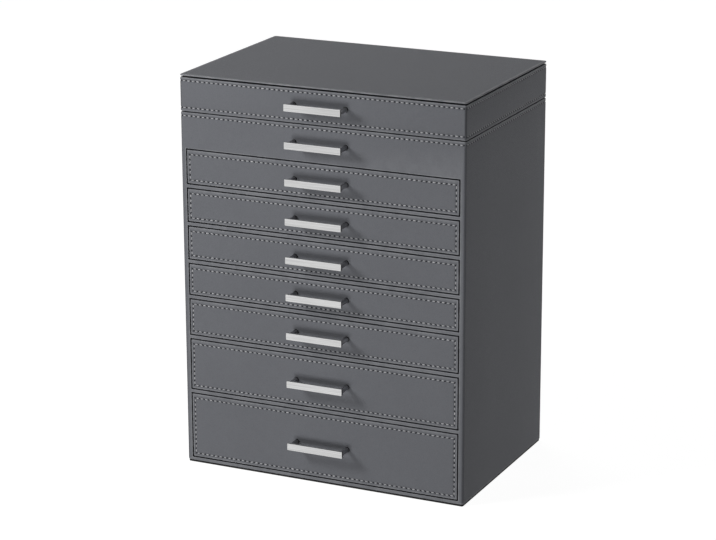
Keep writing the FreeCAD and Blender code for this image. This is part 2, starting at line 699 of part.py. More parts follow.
def drawer(number):
    """One drawer: its front, its box of four boards, its lining, its pull and the screws."""
    name = "drawer_%d" % number
    floor = opening_floor(number)
    opening = "opening_%d" % number
    front_height = opening + " - 2 * front_reveal"
    front = pull_board(name + "_front", INNER_WIDTH + " - 2 * front_reveal", front_height,
                       "front_board", "(%s) / 2" % front_height)
    body_fillet(front, name + "_front_edges", front.Tip, "front_rounding",
                front_edges(size("front_board")))
    place(front, (INNER_LEFT + " + front_reveal", CASE_FRONT + " + front_board",
                  floor + " + front_reveal"))
    middle = floor + " + %s / 2" % opening
    pull(name + "_pull", middle)
    pull_screws(name + "_pull_screws", middle, "front_board")

    left = INNER_LEFT + " + box_side_gap"
    width = INNER_WIDTH + " - 2 * box_side_gap"
    start = CASE_FRONT + " + front_board"
    depth = "case_depth - front_board - back_board - drawer_rear_gap"
    low = floor + " + box_floor_gap"
    height = opening + " - box_floor_gap - box_top_gap"
    group(name + "_box", [
        block(name + "_left", (left, start, low), ("box_board", depth, height)),
        block(name + "_right", (left + " + %s - box_board" % width, start, low),
              ("box_board", depth, height)),
        block(name + "_rear", (left + " + box_board", start + " + %s - box_board" % depth, low),
              (width + " - 2 * box_board", "box_board", height)),
        block(name + "_base", (left + " + box_board", start, low),
              (width + " - 2 * box_board", depth + " - box_board", "box_base"))])
    tray(name + "_lining", (left + " + box_board", start, low + " + box_base"),
         (width + " - 2 * box_board", depth + " - box_board", height + " - box_base"))
    if number in SHORT_DIVIDERS:
        corner = (left + " + box_board + lining", start + " + lining", low + " + box_base + lining")
        extent = ("(%s - 2 * box_board - 2 * lining)" % width,
                  "(%s - box_board - 2 * lining)" % depth,
                  height + " - box_base - lining - divider_drop")
        group(name + "_dividers",
              cross_dividers(name + "_divider", corner, extent, SHORT_DIVIDERS[number]))


def node_names():
    """The names of the pieces that are written, one file each."""
    names = ["case_left_side", "case_right_side", "case_back", "case_bottom", "front_band",
             "drawer_shelves", "felt_base", "band_pull", "band_pull_screws", "well_lining",
             "well_dividers", "well_ring_rolls", "case_hinge_leaves", "hinge_pins",
             "case_hinge_screws", "lid_top", "lid_rim", "lid_lining", "lid_mirror", "lid_pull",
             "lid_pull_screws", "lid_hinge_leaves", "lid_hinge_screws"]
    for number in range(1, DRAWER_COUNT + 1):
        names += ["drawer_%d_%s" % (number, part)
                  for part in ("front", "box", "lining", "pull", "pull_screws")]
        if number in SHORT_DIVIDERS:
            names.append("drawer_%d_dividers" % number)
    return names


def check_document():
    """Stop if any object failed, or if a piece has no sound shape."""
    failed = [item.Name for item in document.Objects
              if "Invalid" in item.State or "Error" in item.State]
    if failed:
        raise ValueError("failed objects: " + ", ".join(failed))
    for name in node_names():
        shape = document.getObject(name).Shape
        if shape.isNull() or not shape.isValid() or not shape.Solids:
            raise ValueError("no sound shape: " + name)


def write_pieces():
    """Write each piece to a file that its label names."""
    os.makedirs("parts", exist_ok=True)
    for name in node_names():
        piece = document.getObject(name)
        piece.Label = name
        piece.Shape.exportStep(os.path.join("parts", piece.Label + ".step"))


case_boards()
front_band()
well()
lid()
hinges()
for drawer_number in range(1, DRAWER_COUNT + 1):
    drawer(drawer_number)
document.recompute()
check_document()
write_pieces()
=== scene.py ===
"""Dresses the packed jewellery chest: leather with stitching, velvet, mirror glass and metal.

The file is laid out as an add-on: settings, one operator for each group of pieces, one for
the stage, and a panel that lists them. Run as a script it calls every operator in order.
"""
import json
import math

import bmesh
import bpy
import numpy as np
from bpy.props import FloatProperty, FloatVectorProperty, IntProperty, PointerProperty
from mathutils import Matrix, Vector


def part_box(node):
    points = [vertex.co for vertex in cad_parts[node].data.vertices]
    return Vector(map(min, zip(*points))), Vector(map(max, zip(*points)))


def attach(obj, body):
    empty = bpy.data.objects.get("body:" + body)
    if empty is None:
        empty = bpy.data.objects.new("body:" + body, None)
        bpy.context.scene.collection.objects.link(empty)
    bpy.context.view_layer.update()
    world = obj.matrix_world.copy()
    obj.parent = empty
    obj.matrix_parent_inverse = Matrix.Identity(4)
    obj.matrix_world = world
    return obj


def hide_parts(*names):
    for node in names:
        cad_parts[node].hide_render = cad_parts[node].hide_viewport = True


bl_info = {
    "name": "Jewellery chest",
    "version": (1, 0, 0),
    "blender": (4, 5, 0),
    "location": "View3D > Sidebar > Chest",
    "description": "Builds the looks of a leather jewellery chest round its packed frame",
    "category": "Object",
}

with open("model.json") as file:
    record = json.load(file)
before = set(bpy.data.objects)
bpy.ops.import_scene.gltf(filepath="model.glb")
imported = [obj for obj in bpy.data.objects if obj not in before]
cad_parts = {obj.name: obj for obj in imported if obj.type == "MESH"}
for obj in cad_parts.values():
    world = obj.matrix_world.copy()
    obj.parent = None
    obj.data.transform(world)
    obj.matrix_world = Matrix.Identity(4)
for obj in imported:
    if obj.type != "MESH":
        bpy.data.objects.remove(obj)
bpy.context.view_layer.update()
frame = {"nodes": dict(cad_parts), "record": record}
MM = 0.001
DRAWERS = ["drawer_%d" % number for number in range(1, 8)]
FAR_FROM_ROWS = 20.0    # millimetres from a row of stitches, where nothing of it shows
HOLD = 0.25 * MM        # the short flat strip on each side of a rounded edge
CORNER_STEPS = 6        # faces round an upright corner
SMOOTH_ANGLE = math.radians(38)
SLOT_COLOUR = {entry["slot"]: tuple(entry["base_color"]) for entry in frame["record"]["materials"]}

# Painted light along each profile of the leather: 1 is a painted highlight on a rubbed edge, 0 plain
# and -1 painted shade deep in a gap
FOOT_PAINTED_LIGHT = (-1.0, -0.9, -0.6, -0.1, 0.5, 0.9, 0.5)
UPPER_PAINTED_LIGHT = (0.4, 0.8, 1.0, 0.7, -0.2, -1.0, -1.0)
LIP_PAINTED_LIGHT = (0.35, 1, 0.9, -0.1, -0.9, -1, -1, -1)
FRONT_PAINTED_LIGHT = (-1.0, -1.0, -1.0, -1.0, -1.0, -0.7, 0.2, 1.0, 1.0, 0.5)
LID_FOOT_PAINTED_LIGHT = (-1.0, -1.0, -0.8, -0.1, 0.8, 0.7, 0.3)
PANEL_PAINTED_LIGHT = (-1.0, -1.0, -1.0, -1.0, -0.6, 0.3, 1.0, 1.0, 1.0, 1.0, 1.0, 1.0, 1.0)
# the rails between the drawer openings get a weaker painted highlight
RAIL_PAINTED_HIGHLIGHT = 0.35


# Settings

def settings_of(kind, **limits):
    """A maker of one kind of setting, from its name, its description and its default."""
    def make(name, description, default):
        return kind(name=name, description=description, default=default, **limits)
    return make


length = settings_of(FloatProperty, min=0.0, unit="LENGTH", precision=5)
share = settings_of(FloatProperty, min=0.0, max=1.0, subtype="FACTOR")
colour = settings_of(FloatVectorProperty, size=3, min=0.0, max=1.0, subtype="COLOR")
spot = settings_of(FloatVectorProperty, size=3, unit="LENGTH", subtype="XYZ")
angle = settings_of(FloatProperty, subtype="ANGLE")
power = settings_of(FloatProperty, unit="POWER")


class LeatherSettings(bpy.types.PropertyGroup):
    """The artificial leather that wraps the boards."""
    tint: colour("Leather", "Colour of the leather", SLOT_COLOUR["grey_leather"])
    crease: colour("Creases", "Colour in the grain's creases", (0.105, 0.108, 0.118))
    # painted highlight: the colour painted on rounded edges, which are also rubbed
    rub_highlight: colour("Rubbed edges", "Colour where edges are rubbed", (0.3, 0.305, 0.32))
    # painted shade: the colour painted deep inside seams and gaps and in the needle holes
    shaded: colour("Seams", "Colour deep inside the seams and gaps", (0.012, 0.012, 0.014))
    roughness: share("Roughness", "Roughness of the leather", 0.55)
    shine: share("Shine", "Specular level of the leather", 0.14)
    grain: length("Grain", "Size of the grain's pebbles", 0.9 * MM)
    relief: length("Relief", "Height of the grain", 0.05 * MM)
    edge: length("Edge rounding", "Rounding of the wrapped edges", 0.8 * MM)
    front_edge: length("Front rounding", "Rounding of the drawer fronts' edges", 0.9 * MM)
    shoulder: length("Shoulder", "Rounding of the lid rim's upper edge", 0.9 * MM)
    foot: length("Foot rounding", "Rounding of the case's lower edge", 1.4 * MM)
    corner: length("Corner rounding", "Rounding of the upright corners", 2.5 * MM)
    front_corner: length("Front corners", "Rounding of the drawer fronts' corners", 1.3 * MM)
    channel: length("Channel depth", "Depth of the sewn channels", 0.4 * MM)


class StitchSettings(bpy.types.PropertyGroup):
    """The pale stitching."""
    tint: colour("Thread", "Colour of the thread", (0.6, 0.6, 0.61))
    pitch: length("Pitch", "Length of one stitch with its gap", 5.4 * MM)
    width: length("Width", "Width of the thread", 0.9 * MM)
    reach: share("Reach", "Part of the pitch that the thread covers", 0.64)
    hole: length("Needle hole", "Radius of a needle hole", 0.85 * MM)
    side: length("Side inset", "Row to a drawer front's side", 3.5 * MM)
    low: length("Low inset", "Row to a drawer front's lower edge", 4.0 * MM)
    high: length("High inset", "Row to a drawer front's upper edge", 5.3 * MM)
    case_row: length("Case row", "Row to the case's upper edge", 4.3 * MM)
    lid_low: length("Lower lid row", "Row to the lid rim's lower edge", 4.4 * MM)
    lid_high: length("Upper lid row", "Row to the lid rim's upper edge", 4.8 * MM)
    seed: IntProperty(name="Seed", description="Start of the stitches' small differences", default=4)


class InsideSettings(bpy.types.PropertyGroup):
    """Velvet, felt and the boards' paper."""
    velvet: colour("Velvet", "Colour of the velvet", SLOT_COLOUR["velvet"])
    felt: colour("Felt", "Colour of the felt", SLOT_COLOUR["base_felt"])
    paper: colour("Paper", "Colour of the paper round the boards", SLOT_COLOUR["drawer_board"])
    lining: length("Lining", "Thickness of the velvet linings", 0.8 * MM)
    fillet: length("Fillet", "Rounding of the velvet in the inner corners", 2.5 * MM)
    divider: length("Divider", "Thickness of the dividers", 2.5 * MM)


class MetalSettings(bpy.types.PropertyGroup):
    """Pulls, hinges, screws and the mirror."""
    bar: colour("Bar", "Colour of the brushed bars", SLOT_COLOUR["brushed_metal"])
    post: colour("Post", "Colour of the dark posts", (0.24, 0.24, 0.25))
    steel: colour("Steel", "Colour of hinges and screws", SLOT_COLOUR["fastener_steel"])
    glass: colour("Mirror", "Colour of the mirror's silver", SLOT_COLOUR["mirror_glass"])
    brushing: share("Brushing", "Roughness of the brushed bars", 0.36)


class StageSettings(bpy.types.PropertyGroup):
    """Camera, lamps and floor."""
    place: spot("Camera place", "Where the camera stands", (1.13251927, -2.41951222, 1.00497128))
    yaw: angle("Yaw", "Camera's turn to the left", math.radians(25.259397))
    pitch: angle("Pitch", "Camera's look down", math.radians(16.631998))
    roll: angle("Roll", "Camera's tilt", math.radians(-0.190587))
    lens: FloatProperty(name="Lens", description="Focal length in millimetres", default=129.99)
    key: power("Key lamp", "Power of the low lamp in front, most of it under the table", 91.0)
    high: power("High lamp", "Power of the high lamp on the left", 10.9)
    back: power("Back lamp", "Power of the high lamp behind", 6.6)
    fill: power("Fill lamp", "Power of the lamp on the right", 13.4)
    ambient: share("Ambient", "Strength of the light from all round", 0.01)


# Shapes: rounded rectangles carried along a profile, and turned forms

FACING = {
    "up": np.array([[1.0, 0, 0], [0, 1, 0], [0, 0, 1]]),
    "down": np.array([[1.0, 0, 0], [0, -1, 0], [0, 0, -1]]),
    "front": np.array([[1.0, 0, 0], [0, 0, 1], [0, -1, 0]]),
}


def corners(node_name):
    """A CAD node's lowest and highest corner, as arrays."""
    low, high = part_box(node_name)
    return np.array(low), np.array(high)


def outline(low, high, radius, per_corner, per_side):
    """Closed rounded rectangles, one for each row of the arrays, anticlockwise.

    A corner's points lie on a quarter circle by equal angles. A side's points lie evenly
    between the ends of its two corners.
    """
    low, high = np.atleast_2d(low), np.atleast_2d(high)
    radius = np.reshape(radius, (-1, 1, 1, 1))
    turn = np.linspace(0.0, np.pi / 2, per_corner + 1)
    around = np.pi + np.arange(4)[:, None] * np.pi / 2 + turn
    arrow = np.stack([np.cos(around), np.sin(around)], -1)
    far = np.array([[0, 0], [1, 0], [1, 1], [0, 1]])
    tips = np.stack([low, high], 1)[:, far, [0, 1]]
    arcs = tips[:, :, None] + radius * (1 - 2 * far[:, None] + arrow)
    part = np.linspace(0.0, 1.0, per_side + 1)[1:-1, None]
    starts, ends = arcs[:, :, -1:], np.roll(arcs, -1, axis=1)[:, :, :1]
    sides = starts + part * (ends - starts)
    return np.concatenate([arcs, sides], axis=2).reshape(len(arcs), -1, 2)


def corner_ends(per_corner, per_side):
    """The numbers of an outline's points at which its corners start and end."""
    starts = np.arange(4) * (per_corner + per_side)
    return np.sort(np.concatenate([starts, starts + per_corner]))


def bend(centre, radius, start, end, steps=4):
    """An arc of a profile: inset and height turn round a centre, between angles in degrees."""
    turn = np.radians(np.linspace(start, end, steps + 1))
    return np.stack([centre[0] + radius * np.cos(turn), centre[1] + radius * np.sin(turn)], -1)


def joined(*pieces):
    """A profile of points and arcs, one after another: insets and heights."""
    return np.concatenate([np.reshape(piece, (-1, 2)) for piece in pieces])


def local_box(low, high, facing):
    """A box's corners in the axes of a facing: across, above and outwards."""
    both = np.stack([low, high]) @ FACING[facing].T
    return both.min(0), both.max(0)


def stack(low, high, profile, corner, per_corner=4, per_side=1, facing="up"):
    """Rings for a loft: rounded rectangles drawn in from a box's sides, each at its height.

    A profile's pair is an inset and a height, or its row is four insets and a height. A ring's
    corner radius is the box's less the inset, and never quite nothing.
    """
    insets = np.broadcast_to(profile[:, :-1], (len(profile), 4))
    radii = np.maximum(corner - insets.min(1), 0.05 * MM) if np.ndim(corner) == 0 else corner
    flat = outline(low[:2] + insets[:, :2], high[:2] - insets[:, 2:], radii, per_corner, per_side)
    level = np.broadcast_to(profile[:, -1:, None], flat.shape[:2] + (1,))
    return np.concatenate([flat, level], -1) @ FACING[facing]


def loft(rings, wrap=False, caps=True, marks=None, across=None, edge=None, skip=None, slot=0):
    """A skin over rings: each four neighbouring points of two rings are a face.

    With wrap the last ring joins the first, and skip says which faces are left out. marks are
    the stitches before each point, and across each ring's distance from its row of stitches,
    in millimetres. Faces, their rows and their slots are kept in blocks: the sides, then the
    caps. A face goes from its first point to the next one, then up to the next ring and back.
    """
    levels, around = rings.shape[:2]
    marks = np.zeros(around + 1) if marks is None else marks
    across = np.full(levels, FAR_FROM_ROWS) if across is None else np.asarray(across, float)
    level, point = np.indices((levels if wrap else levels - 1, around))[..., None]
    kept = np.ones(level.shape[:2], bool) if skip is None else ~skip
    level, point = (level + [0, 0, 1, 1]) % levels, point + [0, 1, 1, 0]
    faces = [(level * around + point % around)[kept]]
    rows = [np.stack([marks[point], across[level]], -1)[kept].reshape(-1, 2)]
    if caps and not wrap:
        first, last = np.arange(around)[::-1], np.arange(around) + (levels - 1) * around
        faces.append(np.stack([first, last]))
        rows.append(np.concatenate([np.stack([marks[first], np.full(around, across[0])], -1),
                                    np.stack([marks[:-1], np.full(around, across[-1])], -1)]))
    edge = np.zeros(levels) if edge is None else np.asarray(edge, float)
    edge = np.broadcast_to(edge.reshape(levels, -1), (levels, around)).ravel()
    return {"points": rings.reshape(-1, 3), "faces": faces, "rows": rows, "edge": edge,
            "slots": [np.full(len(block), slot) for block in faces]}


def repeated(part, points):
    """One part's faces over many sets of points: each set's numbers follow the last one's."""
    count, size = points.shape[0], len(part["points"])
    shift = size * np.arange(count)[:, None, None]
    return {"points": points.reshape(-1, 3), "edge": np.tile(part["edge"], count),
            "faces": [(block + shift).reshape(-1, block.shape[1]) for block in part["faces"]],
            "rows": [np.tile(block, (count, 1)) for block in part["rows"]],
            "slots": [np.tile(block, count) for block in part["slots"]]}


def with_corners(edge, per_side, dark):
    """Painted light values of rings, lowered on the arcs of the four upright corners by a smooth
    hump, which paints shade on the corners.
    """
    hump = np.sin(np.linspace(0.0, np.pi, CORNER_STEPS + 1))
    corner = np.tile(np.concatenate([hump, np.zeros(per_side - 1)]), 4)
    return np.clip(np.asarray(edge, float)[:, None] - dark * corner, -1.0, 1.0)


def painted_light_rings(count, *ends):
    """Painted light and shade values for a number of rings: nought, but for given values from given
    rings on.
    """
    edge = np.zeros(count)
    for start, values in ends:
        edge[start:start + len(values)] = values
    return edge


def slab(low, high, edge, facing="up", corner=None):
    """A board with rounded edges: its first and last rings are drawn in on quarter circles."""
    low, high = local_box(low, high, facing)
    thick = high[2] - low[2]
    edge = min(edge, 0.45 * thick)
    hold = edge + 0.04 * thick
    side = joined((hold, 0.0), bend((edge, edge), edge, 270, 180, 3), (0.0, hold),
                  (0.0, thick - hold), bend((edge, thick - edge), edge, 180, 90, 3),
                  (hold, thick))
    # painted highlight on both rounded edges
    rub_highlight = painted_light_rings(len(side), (1, [1] * 4), (7, [1] * 4))
    corner = edge if corner is None else corner
    return loft(stack(low, high, side + (0.0, low[2]), corner, facing=facing), edge=rub_highlight)


def board(across, along, above, edge):
    """A slab between two places on each of X, Y and Z."""
    return slab(*zip(across, along, above), edge)


def turned(centre, path, facing, slot):
    """A turned form: each pair of the path is a circle's radius and its height."""
    around = np.linspace(0.0, 2 * np.pi, 28, endpoint=False)
    start = np.asarray(centre) @ FACING[facing].T
    radius, height = np.split(np.asarray(path, float), 2, axis=1)
    rings = np.stack([start[0] + radius * np.cos(around), start[1] + radius * np.sin(around),
                      np.broadcast_to(start[2] + height, (len(path), len(around)))], -1)
    return loft(rings @ FACING[facing], slot=slot)


def tray(low, high, wall, fillet, facing="up"):
    """A lining: up its outside, round its rim, down its inside and round a fillet to its floor."""
    low, high = local_box(low, high, facing)
    deep, half = high[2] - low[2], wall / 2
    outer = joined((0.0, 0.0), (0.0, deep - half - 0.2 * MM),
                   bend((half, deep - half), half, 180, 0, 6))
    inner = joined((wall, deep - 1.4 * wall), (wall, wall + fillet + 0.4 * MM),
                   bend((wall + fillet, wall + fillet), fillet, 180, 270, 5),
                   (wall + fillet + 0.6 * MM, wall))
    side = joined(outer, inner)
    radii = np.repeat([0.4 * MM, fillet], [len(outer), len(inner)])
    radii = radii - np.maximum(side[:, 0] - wall, 0.0)
    return loft(stack(low, high, side + (0.0, low[2]), np.maximum(radii, 0.2 * MM),
                      facing=facing))


def add_piece(name, parts, finishes, body, nodes="", merge=False):
    """A mesh object of one or more parts, riding on a body, in place of CAD nodes."""
    starts = np.cumsum([0] + [len(part["points"]) for part in parts])
    faces = [face for start, part in zip(starts, parts) for block in part["faces"]
             for face in (block + start).tolist()]
    points, edge = (np.concatenate([part[key] for part in parts]) for key in ("points", "edge"))
    rows, slots = (np.concatenate([block for part in parts for block in part[key]])
                   for key in ("rows", "slots"))
    mesh = bpy.data.meshes.new(name)
    mesh.from_pydata(points.tolist(), [], faces)
    mesh.uv_layers.new(name="rows").data.foreach_set("uv", rows.ravel())
    mesh.attributes.new("edge", "FLOAT", "POINT").data.foreach_set("value", edge)
    mesh.polygons.foreach_set("material_index", slots)
    if merge:
        welded = bmesh.new()
        welded.from_mesh(mesh)
        bmesh.ops.remove_doubles(welded, verts=welded.verts, dist=1e-6)
        welded.to_mesh(mesh)
        welded.free()
    mesh.shade_smooth()
    mesh.set_sharp_from_angle(angle=SMOOTH_ANGLE)
    for finish in finishes.split():
        mesh.materials.append(MATERIALS[finish])
    mesh.validate()
    piece = bpy.data.objects.new(name, mesh)
    bpy.context.scene.collection.objects.link(piece)
    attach(piece, body)
    if nodes:
        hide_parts(*nodes.split())
    return piece


# Sewing

def channel(middle, depth):
    """A sewn channel's profile: depth and place across it, down and up on a smooth wave."""
    place = np.array([-1.2, -0.75, -0.4, 0.0, 0.4, 0.75, 1.2]) * MM
    wave = 0.5 + 0.5 * np.cos(place / place[-1] * np.pi)
    return np.stack([depth * wave, middle + place], -1)


def ring_at(heights, row):
    """The number of the ring nearest to a row's height."""
    return int(np.argmin(np.abs(heights - row)))


def stitch_marks(path, breaks, pitch):
    """How many stitches lie before each point of a closed path, whole at every break.

    A run between two breaks holds its length over the pitch, as a whole number.
    """
    steps = np.linalg.norm(np.roll(path, -1, axis=0) - path, axis=1)
    along = np.concatenate([[0.0], np.cumsum(steps)])
    at = np.append(along[breaks], along[breaks[0]] + along[-1])
    marks = np.concatenate([[0.0], np.cumsum(np.maximum(1.0, np.round(np.diff(at) / pitch)))])
    return np.interp(along, np.concatenate([at[:-1] - along[-1], at]),
                     np.concatenate([marks[:-1] - marks[-1], marks]))


def stitch_ends(path, marks):
    """The points of a closed path where its marks are whole numbers, round to the first."""
    total = int(round(marks[-1] - marks[0]))
    twice = np.concatenate([path, path, path[:1]])
    known = np.concatenate([marks[:-1], marks + total])
    return np.stack([np.interp(np.arange(total + 1), known, twice[:, axis]) for axis in range(3)],
                    -1)


def add_stitches(name, rows, body, outward=None):
    """Threads along rows, each a bowed, flattened ellipse carried from needle hole to needle hole.

    The half width follows the root of one less the cube of the way to the end, and the height
    falls by that cube, so that the ends go down into the holes. The rows on its skin say how
    far round and along the thread a point lies.
    """
    sewing = bpy.context.scene.chest_stitches
    chance = np.random.default_rng(sewing.seed + len(name))
    way = np.array([-1.0, -0.88, -0.5, 0.0, 0.5, 0.88, 1.0])
    around = np.linspace(0.0, 2 * np.pi, 6, endpoint=False) + np.pi / 6
    size = np.sqrt(np.maximum(1 - np.abs(way) ** 3, 0.02))[:, None]
    wide = size * np.cos(around) * sewing.width / 2
    high = size * np.sin(around) * sewing.width * 0.37
    high = high + (0.14 - 0.6 * np.abs(way) ** 3)[:, None] * MM
    parts = []
    for path, marks in rows:
        ends = stitch_ends(path, marks)
        span = np.diff(ends, axis=0)
        run = np.linalg.norm(span, axis=1, keepdims=True)
        along = span / run
        if outward is None:
            normal = np.stack([along[:, 1], -along[:, 0], 0 * along[:, 0]], -1)
        else:
            normal = np.broadcast_to(np.array(outward, float), along.shape)
        beside = np.cross(normal, along)
        count = len(along)
        lean = chance.normal(0.0, 0.08, (count, 1))
        along, beside = along + lean * beside, beside - lean * along
        bulk = chance.normal(1.0, 0.1, (count, 1, 1, 1))
        half = run * sewing.reach / 2 * chance.normal(1.0, 0.07, (count, 1))
        middle = (ends[1:] + ends[:-1]) / 2
        rings = (middle[:, None, None] + (way[:, None, None] * (along * half)[:, None, None])
                 + bulk * wide[..., None] * beside[:, None, None]
                 + bulk * high[..., None] * normal[:, None, None])
        thread = loft(rings[0], marks=np.linspace(0.0, 1.0, len(around) + 1),
                      across=np.linspace(0.0, 4.0, len(way)))
        parts.append(repeated(thread, rings))
    return add_piece(name, parts, "thread", body)


# Nodes and materials

MATERIALS = {}


def shade(tint, factor):
    """A colour made lighter or darker."""
    return tuple(factor * value for value in tint)


def connect(tree, made, inputs):
    """Fill a node's inputs, by name or number, from sockets and plain values."""
    for key, value in inputs.items():
        if isinstance(value, bpy.types.NodeSocket):
            tree.links.new(value, made.inputs[key])
        else:
            made.inputs[key].default_value = value


def node(tree, kind, inputs=None, **settings):
    """A new node; its inputs are values or sockets, by name or number."""
    made = tree.nodes.new("ShaderNode" + kind)
    for key, value in settings.items():
        setattr(made, key, value)
    connect(tree, made, inputs or {})
    return made


def sums(tree, operation, *values, clamp=False):
    """The result of a Math node."""
    made = node(tree, "Math", dict(enumerate(values)), operation=operation, use_clamp=clamp)
    return made.outputs[0]


def vectors(tree, operation, *values):
    """The result of a Vector Math node."""
    return node(tree, "VectorMath", dict(enumerate(values)), operation=operation).outputs[0]


def remap(tree, value, low, high, to_low=0.0, to_high=1.0):
    """A value moved smoothly from one range to another."""
    made = node(tree, "MapRange", {"Value": value, "From Min": low, "From Max": high,
                                   "To Min": to_low, "To Max": to_high},
                interpolation_type="SMOOTHSTEP")
    return made.outputs["Result"]


def mix(tree, factor, first, second, strength=1.0):
    """A colour between two colours, by a factor times a strength."""
    if strength != 1.0:
        factor = sums(tree, "MULTIPLY", factor, strength)
    ends = (tint if isinstance(tint, bpy.types.NodeSocket) else (*tint, 1.0)
            for tint in (first, second))
    return node(tree, "Mix", {"Factor": factor, **dict(zip((6, 7), ends))},
                data_type="RGBA").outputs[2]


def stretched(tree, vector, scale):
    """Coordinates scaled on each axis."""
    return node(tree, "Mapping", {"Vector": vector, "Scale": scale}).outputs["Vector"]


def noise(tree, vector, scale, detail=2.0, roughness=0.5, output="Fac"):
    """A noise texture's value, or its colour."""
    made = node(tree, "TexNoise", {"Vector": vector, "Scale": scale, "Detail": detail,
                                   "Roughness": roughness})
    return made.outputs[output]


def painted_rows(tree):
    """The piece's own rows: stitches before a place, and millimetres from the row."""
    return node(tree, "UVMap", uv_map="rows").outputs["UV"]


def painted_edge(tree):
    """The piece's own edge value: a painted highlight on a rubbed edge above nought, painted shade
    deep in a gap below it.
    """
    return node(tree, "Attribute", attribute_name="edge").outputs["Fac"]


def new_group(name, outputs, **inputs):
    """A node group with named outputs, and inputs with their defaults: numbers or vectors."""
    tree = bpy.data.node_groups.new(name, "ShaderNodeTree")
    for socket, default in inputs.items():
        kind = "NodeSocketFloat" if isinstance(default, float) else "NodeSocketVector"
        made = tree.interface.new_socket(socket, in_out="INPUT", socket_type=kind)
        if default:
            made.default_value = default
    for socket in outputs:
        tree.interface.new_socket(socket, in_out="OUTPUT", socket_type="NodeSocketFloat")
    return tree, tree.nodes.new("NodeGroupInput").outputs, tree.nodes.new("NodeGroupOutput")


def place_group(tree, name, inputs):
    """A group's outputs inside a material."""
    return node(tree, "Group", inputs, node_tree=bpy.data.node_groups[name]).outputs


def leather_grain_group():
    """Pebbles of leather: cell edges of a bent cell pattern, with fine pores and wide patches."""
    tree, given, result = new_group("leather_grain", ("Height", "Crease", "Patch"),
                                    Vector=(), Cells=1100.0)
    place = given["Vector"]
    bent = vectors(tree, "MULTIPLY", noise(tree, place, 260.0, output="Color"), (0.0011,) * 3)
    bent = vectors(tree, "ADD", place, bent)
    cells = node(tree, "TexVoronoi", {"Vector": bent, "Scale": given["Cells"]},
                 feature="DISTANCE_TO_EDGE").outputs["Distance"]
    pebble = remap(tree, cells, 0.0, 0.22)
    pores = noise(tree, place, 3600.0, 1.0)
    wide, fine = (sums(tree, "MULTIPLY", noise(tree, place, scale, 3.0, 0.6), weight)
                  for scale, weight in ((9.0, 0.6), (130.0, 0.4)))
    connect(tree, result, {"Height": sums(tree, "MULTIPLY_ADD", pores, 0.25, pebble),
                           "Crease": sums(tree, "SUBTRACT", 1.0, pebble),
                           "Patch": remap(tree, sums(tree, "ADD", wide, fine), 0.36, 0.64)})


def stitch_row_group():
    """Needle holes at whole numbers of stitches along a row, and the leather drawn in by it."""
    tree, given, result = new_group("stitch_row", ("Hole", "Pucker"), Rows=(), Pitch=5.4,
                                    Hole=0.6)
    count, across = node(tree, "SeparateXYZ", {0: given["Rows"]}).outputs[:2]
    nearest = sums(tree, "SUBTRACT", count, sums(tree, "ROUND", count))
    along = sums(tree, "MULTIPLY", nearest, given["Pitch"])
    away = sums(tree, "SQRT", sums(tree, "ADD", sums(tree, "MULTIPLY", along, along),
                                   sums(tree, "MULTIPLY", across, across)))
    ratio = sums(tree, "DIVIDE", away, given["Hole"])
    connect(tree, result, {"Hole": remap(tree, ratio, 0.7, 1.5, 1.0, 0.0),
                           "Pucker": remap(tree, ratio, 0.5, 3.5, 1.0, 0.0)})


def edge_rub_and_light_group():
    """A painted highlight on rounded, rubbed edges, broken up by noise, and painted shade where the
    edge value is below zero.
    """
    tree, given, result = new_group("edge_rub_and_light", ("RubAndHighlight", "PaintedShade"), Vector=(), Edge=0.0)
    broken = remap(tree, noise(tree, given["Vector"], 70.0, 4.0, 0.7), 0.36, 0.62, 0.45, 1.0)
    outer = sums(tree, "MAXIMUM", given["Edge"], 0.0)
    connect(tree, result, {"RubAndHighlight": sums(tree, "MULTIPLY", outer, broken),
                           "PaintedShade": sums(tree, "MULTIPLY", given["Edge"], -1.0, clamp=True)})


def pile_group():
    """Short pile: fine tufts, and soft patches where the nap lies another way."""
    tree, given, result = new_group("pile", ("Height", "Nap"), Vector=(), Tufts=2600.0)
    lying = noise(tree, stretched(tree, given["Vector"], (1.0, 0.6, 1.0)), 38.0, 3.0, 0.55)
    connect(tree, result, {"Height": noise(tree, given["Vector"], given["Tufts"], 3.0, 0.65),
                           "Nap": remap(tree, lying, 0.35, 0.65)})


def streaks_group():
    """Brushing or rolling marks: noise drawn out along one axis."""
    tree, given, result = new_group("streaks", ("Fine", "Wide"), Vector=(),
                                    Stretch=(12.0, 2600.0, 2600.0))
    drawn = vectors(tree, "MULTIPLY", given["Vector"], given["Stretch"])
    slow = vectors(tree, "MULTIPLY", drawn, (0.25, 0.25, 0.25))
    connect(tree, result, {"Fine": noise(tree, drawn, 1.0, 3.0, 0.7),
                           "Wide": noise(tree, slow, 1.0, 1.0)})


def new_material(name):
    """A material with a plain shader; the tree, its shader and its object coordinates."""
    material = bpy.data.materials.new(name)
    material.use_nodes = True
    tree = material.node_tree
    shader = next(item for item in tree.nodes if item.type == "BSDF_PRINCIPLED")
    MATERIALS[name] = material
    return tree, shader, node(tree, "TexCoord").outputs["Object"]


def bump(tree, height, distance, strength=1.0, under=None):
    """A normal from a height in metres at full value."""
    inputs = {"Height": height, "Distance": distance, "Strength": strength}
    if under is not None:
        inputs["Normal"] = under
    return node(tree, "Bump", inputs).outputs["Normal"]


